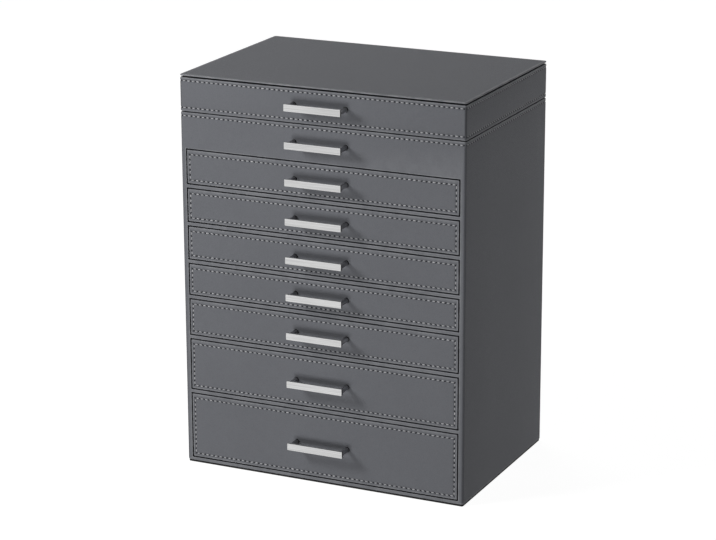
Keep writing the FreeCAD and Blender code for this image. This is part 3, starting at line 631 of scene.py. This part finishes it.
def leather_material():
    """Artificial leather: pebbled grain, needle holes along the rows painted in shade, rubbed edges
    with a painted highlight, and painted shade in seams and gaps.
    """
    leather, sewing = bpy.context.scene.chest_leather, bpy.context.scene.chest_stitches
    tree, shader, place = new_material("leather")
    grain = place_group(tree, "leather_grain", {"Vector": place, "Cells": 1 / leather.grain})
    sewn = place_group(tree, "stitch_row", {"Rows": painted_rows(tree),
                                            "Pitch": sewing.pitch / MM,
                                            "Hole": sewing.hole / MM})
    painted_light = place_group(tree, "edge_rub_and_light", {"Vector": place, "Edge": painted_edge(tree)})
    tone = mix(tree, grain["Crease"], leather.tint, leather.crease, 0.5)
    tone = mix(tree, grain["Patch"], tone, leather.crease, 0.16)
    # painted highlight on rounded edges
    tone = mix(tree, painted_light["RubAndHighlight"], tone, leather.rub_highlight, 0.75)
    # painted shade deep in seams and gaps
    tone = mix(tree, painted_light["PaintedShade"], tone, leather.shaded)
    # painted shade in the needle holes
    tone = mix(tree, sewn["Hole"], tone, leather.shaded, 0.95)
    rough = sums(tree, "MULTIPLY_ADD", grain["Crease"], 0.1, leather.roughness)
    rough = sums(tree, "MULTIPLY_ADD", painted_light["RubAndHighlight"], -0.08, rough)
    relief = bump(tree, grain["Height"], leather.relief)
    sunk = bump(tree, sums(tree, "SUBTRACT", 1.0, sewn["Pucker"]), 0.35 * MM, 1.0, relief)
    connect(tree, shader, {"Base Color": tone, "Roughness": rough, "Normal": sunk,
                           "Specular IOR Level": leather.shine})


def thread_material():
    """Twisted thread: slanting plies round each stitch, some stitches darker than others."""
    sewing = bpy.context.scene.chest_stitches
    tree, shader, place = new_material("thread")
    around, along = node(tree, "SeparateXYZ", {0: painted_rows(tree)}).outputs[:2]
    turns = sums(tree, "MULTIPLY", sums(tree, "ADD", around, along), 2 * math.pi)
    plies = sums(tree, "MULTIPLY_ADD", sums(tree, "SINE", turns), 0.5, 0.5)
    fluff = sums(tree, "MULTIPLY_ADD", noise(tree, place, 5200.0), 0.5, plies)
    dark = shade(sewing.tint, 0.62)
    tone = mix(tree, remap(tree, fluff, 0.1, 0.9), dark, sewing.tint)
    tone = mix(tree, remap(tree, noise(tree, place, 170.0, 1.0), 0.35, 0.65, 0.0, 0.75), tone, dark)
    connect(tree, shader, {"Base Color": tone, "Normal": bump(tree, plies, 0.08 * MM),
                           "Roughness": 0.75, "Specular IOR Level": 0.25, "Sheen Weight": 0.2})


def velvet_material():
    """Short-pile velvet with a soft sheen."""
    velvet = bpy.context.scene.chest_inside.velvet
    tree, shader, place = new_material("velvet")
    pile = place_group(tree, "pile", {"Vector": place, "Tufts": 2600.0})
    tone = mix(tree, pile["Nap"], velvet, shade(velvet, 1.7))
    tone = mix(tree, remap(tree, pile["Height"], 0.35, 0.6, 0.6, 0.0), tone, shade(velvet, 0.6))
    connect(tree, shader, {"Base Color": tone, "Normal": bump(tree, pile["Height"], 0.25 * MM),
                           "Roughness": 0.9, "Specular IOR Level": 0.15, "Sheen Weight": 0.6,
                           "Sheen Roughness": 0.35, "Sheen Tint": (0.75, 0.75, 0.8, 1.0)})


def felt_material():
    """Pressed felt: matted fibres."""
    felt = bpy.context.scene.chest_inside.felt
    tree, shader, place = new_material("felt")
    fibres = noise(tree, stretched(tree, place, (1.0, 2.4, 1.0)), 1500.0, 4.0, 0.75)
    tone = mix(tree, remap(tree, fibres, 0.4, 0.7), felt, shade(felt, 2.2))
    connect(tree, shader, {"Base Color": tone, "Normal": bump(tree, fibres, 0.3 * MM),
                           "Roughness": 0.95, "Specular IOR Level": 0.03, "Sheen Weight": 0.05})


def paper_material():
    """Matt paper with a fine linen press, round the fibreboards."""
    paper = bpy.context.scene.chest_inside.paper
    tree, shader, place = new_material("board_paper")
    warp, weft = (noise(tree, stretched(tree, place, scale), 1.0)
                  for scale in ((3000.0, 150.0, 3000.0), (150.0, 3000.0, 150.0)))
    threads = sums(tree, "MAXIMUM", warp, weft)
    patch, light = noise(tree, place, 25.0, 4.0, 0.6), shade(paper, 1.6)
    tone = mix(tree, remap(tree, threads, 0.45, 0.7), paper, light)
    tone = mix(tree, remap(tree, patch, 0.4, 0.75, 0.0, 0.35), tone, light)
    connect(tree, shader, {"Base Color": tone, "Normal": bump(tree, threads, 0.05 * MM),
                           "Roughness": remap(tree, patch, 0.3, 0.7, 0.62, 0.78),
                           "Specular IOR Level": 0.3})


def bar_material():
    """Brushed metal: streaks along the bar, a painted highlight on its rounded edges and a painted
    dark reflection on its ends.
    """
    metal = bpy.context.scene.chest_metal
    tree, shader, place = new_material("brushed_bar")
    marks = place_group(tree, "streaks", {"Vector": place, "Stretch": (14.0, 2600.0, 2600.0)})
    tone = mix(tree, remap(tree, marks["Fine"], 0.35, 0.75), shade(metal.bar, 0.68), metal.bar)
    # painted highlight on the bar's rounded edges
    tone = mix(tree, painted_edge(tree), tone, shade(metal.bar, 1.12), 0.7)
    across = sums(tree, "ABSOLUTE", node(tree, "SeparateXYZ", {0: place}).outputs[0])
    # painted dark reflection on the bar's end faces
    tone = mix(tree, remap(tree, across, 31.75 * MM, 31.95 * MM), tone, shade(metal.bar, 0.28))
    rough = remap(tree, marks["Wide"], 0.3, 0.7, metal.brushing - 0.06, metal.brushing + 0.08)
    connect(tree, shader, {"Base Color": tone, "Roughness": rough,
                           "Normal": bump(tree, marks["Fine"], 0.02 * MM, 0.6),
                           "Metallic": 1.0})


def fitting_materials():
    """Dark turned posts, near-black collars that stand for the contact shadow at their roots,
    zinc-plated steel and silvered glass.
    """
    metal = bpy.context.scene.chest_metal
    tree, shader, place = new_material("dark_post")
    marks = place_group(tree, "streaks", {"Vector": place, "Stretch": (900.0, 40.0, 900.0)})
    tone = mix(tree, remap(tree, marks["Fine"], 0.4, 0.7), metal.post, shade(metal.post, 2.0))
    connect(tree, shader, {"Base Color": tone,
                           "Roughness": remap(tree, marks["Wide"], 0.3, 0.7, 0.3, 0.42),
                           "Metallic": 1.0})

    # painted contact shadow: the near-black colour of the collar at each post's root
    tree, shader, place = new_material("black_collar")
    collar_noise = noise(tree, place, 700.0, 3.0)
    tone = mix(tree, collar_noise, (0.008, 0.008, 0.009), (0.022, 0.022, 0.024))
    connect(tree, shader, {"Base Color": tone, "Roughness": remap(tree, collar_noise, 0.3, 0.7, 0.45, 0.6),
                           "Specular IOR Level": 0.3})

    tree, shader, place = new_material("plated_steel")
    marks = place_group(tree, "streaks", {"Vector": place, "Stretch": (200.0, 900.0, 900.0)})
    spots = noise(tree, place, 160.0, 4.0, 0.6)
    tone = mix(tree, remap(tree, spots, 0.35, 0.7), metal.steel, shade(metal.steel, 0.72))
    connect(tree, shader, {"Base Color": tone,
                           "Roughness": remap(tree, spots, 0.3, 0.7, 0.28, 0.44),
                           "Normal": bump(tree, marks["Fine"], 0.015 * MM, 0.5),
                           "Metallic": 1.0})

    tree, shader, place = new_material("mirror_silver")
    haze = noise(tree, place, 20.0, 3.0)
    tone = mix(tree, remap(tree, haze, 0.4, 0.8, 0.0, 0.4), metal.glass, shade(metal.glass, 0.93))
    connect(tree, shader, {"Base Color": tone,
                           "Roughness": remap(tree, haze, 0.4, 0.8, 0.008, 0.03),
                           "Metallic": 1.0})


# Pieces

class CHEST_OT_finishes(bpy.types.Operator):
    """Make the node groups and the materials"""
    bl_idname = "chest.finishes"
    bl_label = "Finishes"

    def execute(self, context):
        """Shared effects first, then each material."""
        for make in (leather_grain_group, stitch_row_group, edge_rub_and_light_group, pile_group,
                     streaks_group, leather_material, thread_material, velvet_material,
                     felt_material, paper_material, bar_material, fitting_materials):
            make()
        return {"FINISHED"}


def opening_of(body):
    """Low and high corner of a drawer opening's outline, across and up."""
    low, high = corners(body + "_front")
    reveal = corners("case_right_side")[0][0] - high[0]
    return low[::2] - reveal, high[::2] + reveal


class CHEST_OT_case(bpy.types.Operator):
    """Wrap the case in one sheet of leather with seven openings, and sew its upper row"""
    bl_idname = "chest.case"
    bl_label = "Case"

    def execute(self, context):
        """A grid round the outline and up the height, less the openings, and a rim in each.

        The two points between the front's corners are moved to the sides of the openings.
        """
        leather, sewing = context.scene.chest_leather, context.scene.chest_stitches
        low, high = corners("case_left_side")[0], corners("case_back")[1]
        inner_low = np.array([corners("case_left_side")[1][0], corners("front_band")[1][1]])
        inner_high = np.array([corners("case_right_side")[0][0], corners("case_back")[0][1]])
        edge, foot, reach = leather.edge, leather.foot, leather.edge + HOLD
        top, row = high[2] - 0.5 * MM, high[2] - sewing.case_row
        openings = [opening_of(body) for body in reversed(DRAWERS)]
        rails = [[0.0, level] for start, end in openings
                 for level in (start[1] - reach, end[1] + reach)]
        outside = joined(
            (foot + HOLD, low[2]), bend((foot, low[2] + foot), foot, 270, 180),
            (0.0, low[2] + foot + HOLD), rails, channel(row, leather.channel),
            (0.0, top - reach), bend((edge, top - edge), edge, 180, 90), (reach, top))
        inside = joined((0.0, top), [[0.0, level] for start, end in reversed(openings)
                                     for level in (end[1], start[1])], (0.0, low[2]))
        per_side = 3
        outer = stack(low, high, outside, leather.corner, CORNER_STEPS, per_side)
        inner = stack(inner_low, inner_high, inside, 0.0, CORNER_STEPS, per_side)
        left, right = CORNER_STEPS + 1, CORNER_STEPS + 2
        start, end = openings[0]
        outer[:, left, 0], outer[:, right, 0] = start[0] - reach, end[0] + reach
        rings = np.concatenate([outer, inner])
        skip = np.zeros(rings.shape[:2], bool)
        first, behind = len(FOOT_PAINTED_LIGHT), len(outer) + 1
        skip[first:first + len(rails):2, left] = True
        skip[behind:behind + len(rails):2, left - 1:right + 1] = True
        path = rings[ring_at(outside[:, 1], row)]
        marks = stitch_marks(path, corner_ends(CORNER_STEPS, per_side), sewing.pitch)
        across = np.full(len(rings), FAR_FROM_ROWS)
        across[:len(outer)] = np.minimum(np.abs(outside[:, 1] - row) / MM, FAR_FROM_ROWS)
        # painted light along the wrap: highlights on rounded edges, painted shade in the foot line,
        # the split and inside
        painted_light = painted_light_rings(len(rings), (0, FOOT_PAINTED_LIGHT), (len(outer) - len(UPPER_PAINTED_LIGHT), UPPER_PAINTED_LIGHT),
                    (len(outer), [-1.0] * len(inside)))
        # painted shade on the four upright corners
        painted_light = with_corners(painted_light, per_side, 0.4)
        # painted highlight on the rails between the openings
        painted_light[first:first + len(rails) - 1, left:right + 1] = RAIL_PAINTED_HIGHLIGHT
        wrap = loft(rings, wrap=True, marks=marks, across=across, skip=skip, edge=painted_light)
        papered = np.zeros(rings.shape[:2], int)
        papered[len(outer):-1] = 1
        wrap["slots"] = [papered[~skip]]
        depth = inner_low[1] - low[1]
        lip = joined((-reach, 0.0), bend((-edge, -edge), edge, 90, 0), (0.0, -reach),
                     (0.0, -depth))
        # the openings' lips: a painted highlight on the edge and painted shade down in the gap
        lips = [loft(stack(start, end, lip - (0.0, low[1]), np.zeros(len(lip)), 0, 1, "front"),
                     caps=False, edge=LIP_PAINTED_LIGHT) for start, end in openings]
        add_piece("case_wrap", [wrap, *lips], "leather board_paper", "case",
                  "case_left_side case_right_side case_back front_band",
                  merge=True)
        add_stitches("case_stitching", [(path, marks)], "case")
        return {"FINISHED"}


class CHEST_OT_boards(bpy.types.Operator):
    """Make the boards inside the case and the felt under it"""
    bl_idname = "chest.boards"
    bl_label = "Boards and felt"

    def execute(self, context):
        """Boards with rounded edges between the walls, and felt nearly as wide as the case."""
        along = corners("front_band")[1][1], corners("case_back")[0][1]
        across = corners("case_left_side")[1][0], corners("case_right_side")[0][0]
        openings = [opening_of(body) for body in DRAWERS]
        levels = [(openings[0][1][1], corners("well_lining")[0][2])]
        levels += [(below[1][1], above[0][1]) for above, below in zip(openings, openings[1:])]
        add_piece("shelf_boards", [board(across, along, level, 0.1 * MM) for level in levels],
                  "board_paper", "case", "drawer_shelves")
        low, high = corners("case_bottom")
        add_piece("bottom_board", [board(across, along, (low[2], high[2]), 0.1 * MM)],
                  "board_paper", "case", "case_bottom")
        low, high = corners("felt_base")
        spread = np.array([3.3, 3.3, 0.0]) * MM
        add_piece("felt_sheet", [slab(low - spread, high + spread, 0.25 * MM, corner=1.8 * MM)],
                  "felt", "case", "felt_base")
        return {"FINISHED"}


class CHEST_OT_drawer_fronts(bpy.types.Operator):
    """Make the seven padded and sewn drawer fronts"""
    bl_idname = "chest.drawer_fronts"
    bl_label = "Drawer fronts"

    def execute(self, context):
        """Rings drawn in from the outline: a rounded edge, a sewn channel and the flat field."""
        leather, sewing = context.scene.chest_leather, context.scene.chest_stitches
        edge, per_corner = leather.front_edge, 4
        groove = joined(channel(0.0, leather.channel), (0.0, 1.7 * MM), (0.0, 9.0 * MM))
        rows = np.array([sewing.side, sewing.low, sewing.side, sewing.high])
        for body in DRAWERS:
            low, high = local_box(*corners(body + "_front"), "front")
            thick = high[2] - low[2]
            rim = joined((0.5 * MM, 0.0), (0.0, 0.5 * MM), (0.0, thick - edge - HOLD),
                         bend((edge, thick - edge), edge, 180, 90, 5), (edge + 0.3 * MM, thick))
            rim[:, 0] += 0.2 * MM
            field = np.column_stack([rows + groove[:, 1:], thick - groove[:, 0]])
            side = np.concatenate([rim[:, [0, 0, 0, 0, 1]], field])
            side[:, 4] += low[2]
            rings = stack(low, high, side, leather.front_corner, per_corner, 1, "front")
            path = rings[len(rim) + 3]
            middles = corner_ends(per_corner, 1)[::2] + per_corner // 2
            marks = stitch_marks(path, middles, sewing.pitch)
            across = np.abs(np.concatenate([rim[:, 0] - sewing.side, groove[:, 1]])) / MM
            # painted shade on the rim down in the gaps and a painted highlight on the rounded edge
            front = loft(rings, marks=marks, across=across,
                         edge=painted_light_rings(len(rings), (0, FRONT_PAINTED_LIGHT)))
            add_piece(body + "_panel", [front], "leather", body, body + "_front")
            add_stitches(body + "_stitching", [(path, marks)], body, (0, -1, 0))
        return {"FINISHED"}


class CHEST_OT_drawer_boxes(bpy.types.Operator):
    """Make the drawers' boxes and their velvet"""
    bl_idname = "chest.drawer_boxes"
    bl_label = "Drawer boxes"

    def execute(self, context):
        """Four boards and a tray in each, placed by the CAD boxes."""
        inside = context.scene.chest_inside
        for body in DRAWERS:
            low, high = corners(body + "_box")
            wall, _, floor = corners(body + "_lining")[0] - low
            left, right, rear = low[0] + wall, high[0] - wall, high[1] - wall
            tall, deep = (low[2], high[2]), (low[1], high[1])
            boards = [board((low[0], left), deep, tall, 0.6 * MM),
                      board((right, high[0]), deep, tall, 0.6 * MM),
                      board((left, right), (rear, high[1]), tall, 0.6 * MM),
                      board((left, right), (low[1], rear), (low[2], low[2] + floor), 0.2 * MM)]
            add_piece(body + "_boards", boards, "board_paper", body, body + "_box")
            velvet = tray(*corners(body + "_lining"), inside.lining, inside.fillet)
            add_piece(body + "_velvet", [velvet], "velvet", body, body + "_lining")
        return {"FINISHED"}


def divider_boards(low, high, thick, crossings):
    """Boards across a space: one from side to side, and short ones before and behind it."""
    near, far = (low[1] + high[1] - thick) / 2, (low[1] + high[1] + thick) / 2
    tall, edge = (low[2], high[2]), 1.1 * MM
    return [board((low[0], high[0]), (near, far), tall, edge)] + [
        board((across - thick / 2, across + thick / 2), along, tall, edge)
        for across in crossings for along in ((low[1], near), (far, high[1]))]


class CHEST_OT_dividers(bpy.types.Operator):
    """Make the velvet dividers of the two upper drawers and of the well"""
    bl_idname = "chest.dividers"
    bl_label = "Dividers"

    def execute(self, context):
        """Rounded boards, spaced evenly as the CAD boxes say."""
        thick = context.scene.chest_inside.divider
        for body, short in zip(DRAWERS, (2, 1)):
            low, high = corners(body + "_dividers")
            pitch = (high[0] - low[0] + thick) / (short + 1)
            crossings = low[0] - thick / 2 + pitch * np.arange(1, short + 1)
            add_piece(body + "_partitions", divider_boards(low, high, thick, crossings),
                      "velvet", body, body + "_dividers")
        low, high = corners("well_dividers")
        side, rear = (corners("well_ring_rolls")[1] + 0.4 * MM)[:2]
        tall, edge = (low[2], high[2]), 1.1 * MM
        parts = [board((low[0], high[0]), (rear, rear + thick), tall, edge),
                 board((side, side + thick), (low[1], rear), tall, edge)]
        start, end = (side + thick, low[1], low[2]), (high[0], rear, high[2])
        parts += divider_boards(start, end, thick, [(start[0] + end[0]) / 2])
        add_piece("well_partitions", parts, "velvet", "case", "well_dividers")
        return {"FINISHED"}


class CHEST_OT_linings(bpy.types.Operator):
    """Line the well and the lid with velvet"""
    bl_idname = "chest.linings"
    bl_label = "Linings"

    def execute(self, context):
        """Trays with rounded inner corners, the lid's upside down."""
        inside = context.scene.chest_inside
        for space, body, facing in (("well", "case", "up"), ("lid", "lid", "down")):
            lining = tray(*corners(space + "_lining"), inside.lining, inside.fillet, facing)
            add_piece(space + "_velvet", [lining], "velvet", body, space + "_lining")
        return {"FINISHED"}


class CHEST_OT_ring_rolls(bpy.types.Operator):
    """Make the seven padded ring rolls of the well"""
    bl_idname = "chest.ring_rolls"
    bl_label = "Ring rolls"

    def execute(self, context):
        """A round-topped section carried along X, drawn in at its ends with soft puckers.

        Across and above are powers of the cosine and the sine, squarer below than above. The
        size falls at the ends by the root of one less a high power of the way along.
        """
        low, high = corners("well_ring_rolls")
        count, gap = 7, 0.4 * MM
        wide = (high[1] - low[1] - (count - 1) * gap) / count
        tall = high[2] - low[2]
        around = np.linspace(0.0, 2 * np.pi, 40, endpoint=False)
        square = 2.6 + 1.6 * (np.sin(around) < 0)
        across, above = (np.sign(wave) * np.abs(wave) ** (2 / square)
                         for wave in (np.cos(around), np.sin(around)))
        way = np.sin(np.linspace(-np.pi / 2, np.pi / 2, 41))
        place = (low[0] + high[0]) / 2 + way * (high[0] - low[0]) / 2
        size = np.maximum(1 - np.abs(way) ** 26, 0.0) ** 0.5
        pucker = 1 - 0.05 * np.abs(way[:, None]) ** 14 * (0.5 + 0.5 * np.cos(9 * around))
        chance = np.random.default_rng(11)
        parts = []
        for number in range(count):
            soft = 1 - 0.012 * np.cos(way * 7 + chance.uniform(0, 6))[:, None]
            half = wide / 2 * size[:, None] * pucker * soft
            middle = low[1] + wide / 2 + number * (wide + gap)
            parts.append(loft(np.stack([
                np.broadcast_to(place[:, None], half.shape), middle + half * across,
                low[2] + tall / 2 + half * above * tall / wide], -1)))
        rolls = add_piece("ring_rolls", parts, "velvet", "case", "well_ring_rolls",
                          merge=True)
        return {"FINISHED"}


class CHEST_OT_lid(bpy.types.Operator):
    """Make the lid's sewn rim, its thin top panel and its mirror"""
    bl_idname = "chest.lid"
    bl_label = "Lid"

    def execute(self, context):
        """A closed profile carried round the outline, and stacks for the panel and the glass."""
        leather, sewing = context.scene.chest_leather, context.scene.chest_stitches
        low, high = corners("lid_rim")
        inner_low, inner_high = corners("lid_lining")
        walls = np.concatenate([inner_low[:2] - low[:2], high[:2] - inner_high[:2]])
        edge, shoulder = leather.edge, leather.shoulder
        bottom, top = low[2] + 0.4 * MM, high[2] - 1.3 * MM
        rows = low[2] + sewing.lid_low, high[2] - sewing.lid_high
        outside = joined(
            (edge + HOLD, bottom), bend((edge, bottom + edge), edge, 270, 180),
            (0.0, bottom + edge + HOLD), channel(rows[0], leather.channel),
            (0.0, sum(rows) / 2), channel(rows[1], leather.channel),
            (0.0, top - shoulder - HOLD), bend((shoulder, top - shoulder), shoulder, 180, 90),
            (shoulder + HOLD, top))
        side = np.concatenate([outside[:, [0, 0, 0, 0, 1]], [[*walls, top], [*walls, bottom]]])
        rings = stack(low, high, side, leather.corner, CORNER_STEPS)
        paths = [rings[ring_at(outside[:, 1], row)] for row in rows]
        marks = stitch_marks(paths[0], corner_ends(CORNER_STEPS, 1), sewing.pitch)
        nearest = np.min([np.abs(side[:, 4] - row) for row in rows], axis=0) / MM
        nearest[-2:] = FAR_FROM_ROWS
        # painted light along the rim: painted shade in the split and inside, painted highlights on
        # the rounded edges
        painted_light = painted_light_rings(len(rings), (0, LID_FOOT_PAINTED_LIGHT), (len(outside) - len(UPPER_PAINTED_LIGHT), UPPER_PAINTED_LIGHT),
                    (len(outside), (-1.0, -1.0)))
        # painted shade on the four upright corners
        rim = loft(rings, wrap=True, marks=marks, across=nearest,
                   edge=with_corners(painted_light, 1, 0.6))
        add_piece("lid_rim_wrap", [rim], "leather", "lid", "lid_rim")
        add_stitches("lid_stitching", [(path, marks) for path in paths], "lid")

        seat = high[2] + 0.1 * MM
        low, high = corners("lid_top")
        roll, recess = (high[2] - seat) / 2, 6.4 * MM
        side = joined((recess, low[2]), (recess, seat), (2.6 * MM, seat),
                      bend((roll, high[2] - roll), roll, 270, 90, 8),
                      (roll + HOLD, high[2]), (roll + 3 * MM, high[2]))
        # painted shade under the panel's rolled edge in the groove, and a painted highlight on the
        # roll
        panel = loft(stack(low, high, side, leather.corner, CORNER_STEPS),
                     edge=painted_light_rings(len(side), (0, PANEL_PAINTED_LIGHT)))
        add_piece("lid_top_panel", [panel], "leather", "lid", "lid_top")

        low, high = local_box(*corners("lid_mirror"), "down")
        thick, bevel = high[2] - low[2], 5.0 * MM
        side = joined((0.3 * MM, 0.0), (0.0, 0.3 * MM), (0.0, thick - 0.9 * MM),
                      (0.25 * MM, thick - 0.65 * MM), (bevel, thick), (bevel + 0.4 * MM, thick))
        glass = loft(stack(low, high, side + (0.0, low[2]), 3.0 * MM, 5, 1, "down"))
        add_piece("lid_mirror_glass", [glass], "mirror_silver", "lid", "lid_mirror")
        return {"FINISHED"}


class CHEST_OT_pulls(bpy.types.Operator):
    """Make the nine bar pulls"""
    bl_idname = "chest.pulls"
    bl_label = "Pulls"

    def execute(self, context):
        """A bar with narrow rounded edges on two turned posts, with a near-black collar at each root
        as a painted contact shadow.
        """
        bodies = {"lid_pull": "lid", "band_pull": "case",
                  **{body + "_pull": body for body in DRAWERS}}
        thick, radius, post_place = 3.1 * MM, 2.5 * MM, 29.5 * MM
        # a near-black collar at each post's root stands for the contact shadow there: painted shade
        shadow_collar = np.array([(0.0, -0.4), (0.35, -0.1), (0.35, 0.9), (0.2, 1.15), (-0.3, 1.2)]) * MM
        shadow_collar[:, 0] += radius
        for name, body in bodies.items():
            low, high = corners(name)
            reach = high[1] - low[1] - thick
            post = [(radius - 0.2 * MM, 0.8 * MM), (radius, 1.0 * MM), (radius, reach - 0.3 * MM),
                    (radius - 0.15 * MM, reach + 0.2 * MM)]
            parts = [slab(low, (high[0], low[1] + thick, high[2]), 0.35 * MM, "front")]
            for place in (-post_place, post_place):
                root = (place, high[1], (low[2] + high[2]) / 2)
                parts += [turned(root, post, "front", 1), turned(root, shadow_collar, "front", 2)]
            add_piece(name + "_handle", parts, "brushed_bar dark_post black_collar", body, name)
        return {"FINISHED"}


class CHEST_OT_fasteners(bpy.types.Operator):
    """Finish the hinges and screws of the frame"""
    bl_idname = "chest.fasteners"
    bl_label = "Hinges and screws"

    def execute(self, context):
        """CAD nodes keep their shapes and get plated steel."""
        for name, piece in frame["nodes"].items():
            if "hinge" in name or name.endswith("screws"):
                piece.data.materials.clear()
                piece.data.materials.append(MATERIALS["plated_steel"])
        return {"FINISHED"}


# The stage

def add_lamp(name, place, size, watts):
    """A square soft lamp that faces the middle of the chest."""
    lamp = bpy.data.lights.new(name, "AREA")
    lamp.shape, lamp.size, lamp.energy = "SQUARE", size, watts
    holder = bpy.data.objects.new(name, lamp)
    bpy.context.scene.collection.objects.link(holder)
    holder.location = place
    towards = Vector((0.0, 0.0, 0.2)) - Vector(place)
    holder.rotation_euler = towards.to_track_quat("-Z", "Y").to_euler()
    holder.visible_camera = False
    holder.visible_glossy = False


def add_camera(stage):
    """The camera at the photograph's viewpoint, from its turn, its look down and its tilt."""
    camera = bpy.data.objects.new("camera", bpy.data.cameras.new("camera"))
    bpy.context.scene.collection.objects.link(camera)
    turns = ((stage.yaw, "Z"), (math.pi / 2 - stage.pitch, "X"), (stage.roll, "Z"))
    turn, look, tilt = (Matrix.Rotation(value, 4, axis) for value, axis in turns)
    camera.matrix_world = Matrix.Translation(stage.place) @ turn @ look @ tilt
    camera.data.sensor_width, camera.data.lens = 36.0, stage.lens
    bpy.context.scene.camera = camera


def floor_material():
    """Pale floor: a glow that is white far away, and dark right under the chest's foot, where
    ambient occlusion paints a contact shadow into the glow.
    """
    material = bpy.data.materials.new("pale_floor")
    material.use_nodes = True
    tree = material.node_tree
    tree.nodes.clear()
    shaded = node(tree, "BsdfDiffuse", {"Color": (0.22, 0.22, 0.22, 1.0)})
    open_air = node(tree, "AmbientOcclusion", {"Distance": 8 * MM}, samples=16).outputs["AO"]
    place = node(tree, "TexCoord").outputs["Object"]
    away = node(tree, "VectorMath", {0: place}, operation="LENGTH").outputs["Value"]
    # painted contact shadow: the glow is cut where ambient occlusion finds the chest close by
    glow = sums(tree, "MULTIPLY", remap(tree, open_air, 0.05, 0.45),
                remap(tree, away, 0.6, 2.5, 0.96, 1.0))
    lit = node(tree, "Emission", {"Color": (1, 1, 1, 1), "Strength": glow})
    shown = node(tree, "AddShader", {0: shaded.outputs[0], 1: lit.outputs[0]})
    node(tree, "OutputMaterial", {"Surface": shown.outputs[0]})
    return material


def seen_directly(tree):
    """One where a ray comes straight from the camera, from metal or through glass."""
    path = node(tree, "LightPath").outputs
    return sums(tree, "MAXIMUM", sums(tree, "MAXIMUM", path["Is Camera Ray"], path["Is Glossy Ray"]),
                path["Is Transmission Ray"])


class CHEST_OT_stage(bpy.types.Operator):
    """Set up the camera, the lamps, the pale floor and the white surroundings"""
    bl_idname = "chest.stage"
    bl_label = "Stage"

    def execute(self, context):
        """The camera and shiny pieces see a white floor, which keeps the chest's soft shadow.

        It is a pale table that lets the light of the lamp under it through.
        """
        scene, stage = context.scene, context.scene.chest_stage
        add_camera(stage)
        add_lamp("key", (-0.2, -4.2, -0.42), 1.25, stage.key)
        add_lamp("high_key", (-0.83, -0.94, 0.9), 0.4, stage.high)
        add_lamp("back_lamp", (-0.7, 0.9, 1.6), 1.0, stage.back)
        add_lamp("fill", (2.6, 0.7, 0.6), 0.8, stage.fill)

        half, drop = 9.0, -0.2 * MM
        floor_mesh = bpy.data.meshes.new("floor")
        floor_mesh.from_pydata([(-half, -half, drop), (half, -half, drop), (half, half, drop),
                                (-half, half, drop)], [], [(0, 1, 2, 3)])
        floor_mesh.materials.append(floor_material())
        floor = bpy.data.objects.new("floor", floor_mesh)
        scene.collection.objects.link(floor)
        floor.visible_shadow = False
        floor.visible_diffuse = False

        world = bpy.data.worlds.new("surroundings")
        scene.world = world
        world.use_nodes = True
        tree = world.node_tree
        tree.nodes.clear()
        soft, white = (node(tree, "Background", {"Color": (1, 1, 1, 1), "Strength": strength})
                       for strength in (stage.ambient, 1.0))
        both = node(tree, "MixShader", {0: seen_directly(tree), 1: soft.outputs[0],
                                        2: white.outputs[0]})
        node(tree, "OutputWorld", {"Surface": both.outputs[0]})
        scene.view_settings.view_transform = "Standard"
        return {"FINISHED"}


# The panel and the run

OPERATORS = (CHEST_OT_finishes, CHEST_OT_case, CHEST_OT_boards, CHEST_OT_drawer_fronts,
             CHEST_OT_drawer_boxes, CHEST_OT_dividers, CHEST_OT_linings, CHEST_OT_ring_rolls,
             CHEST_OT_lid, CHEST_OT_pulls, CHEST_OT_fasteners, CHEST_OT_stage)
SETTINGS = {"chest_leather": LeatherSettings, "chest_stitches": StitchSettings,
            "chest_inside": InsideSettings, "chest_metal": MetalSettings,
            "chest_stage": StageSettings}


class CHEST_PT_panel(bpy.types.Panel):
    """Lists the chest's pieces and settings"""
    bl_label = "Jewellery chest"
    bl_idname = "CHEST_PT_panel"
    bl_space_type = "VIEW_3D"
    bl_region_type = "UI"
    bl_category = "Chest"

    def draw(self, context):
        """A button for each operator, then each group's settings."""
        for operator in OPERATORS:
            self.layout.operator(operator.bl_idname)
        for name, group in SETTINGS.items():
            box = self.layout.box()
            box.label(text=group.__doc__)
            for key in group.__annotations__:
                box.prop(getattr(context.scene, name), key)


def register():
    """Register the settings, the operators and the panel."""
    for kind in (*SETTINGS.values(), *OPERATORS, CHEST_PT_panel):
        bpy.utils.register_class(kind)
    for name, kind in SETTINGS.items():
        setattr(bpy.types.Scene, name, PointerProperty(type=kind))


def unregister():
    """Take them away again."""
    for name in SETTINGS:
        delattr(bpy.types.Scene, name)
    for kind in (CHEST_PT_panel, *reversed(OPERATORS), *reversed(list(SETTINGS.values()))):
        bpy.utils.unregister_class(kind)


def main():
    register()
    for operator in OPERATORS:
        family, action = operator.bl_idname.split(".")
        getattr(getattr(bpy.ops, family), action)()


if __name__ == "__main__":
    main()
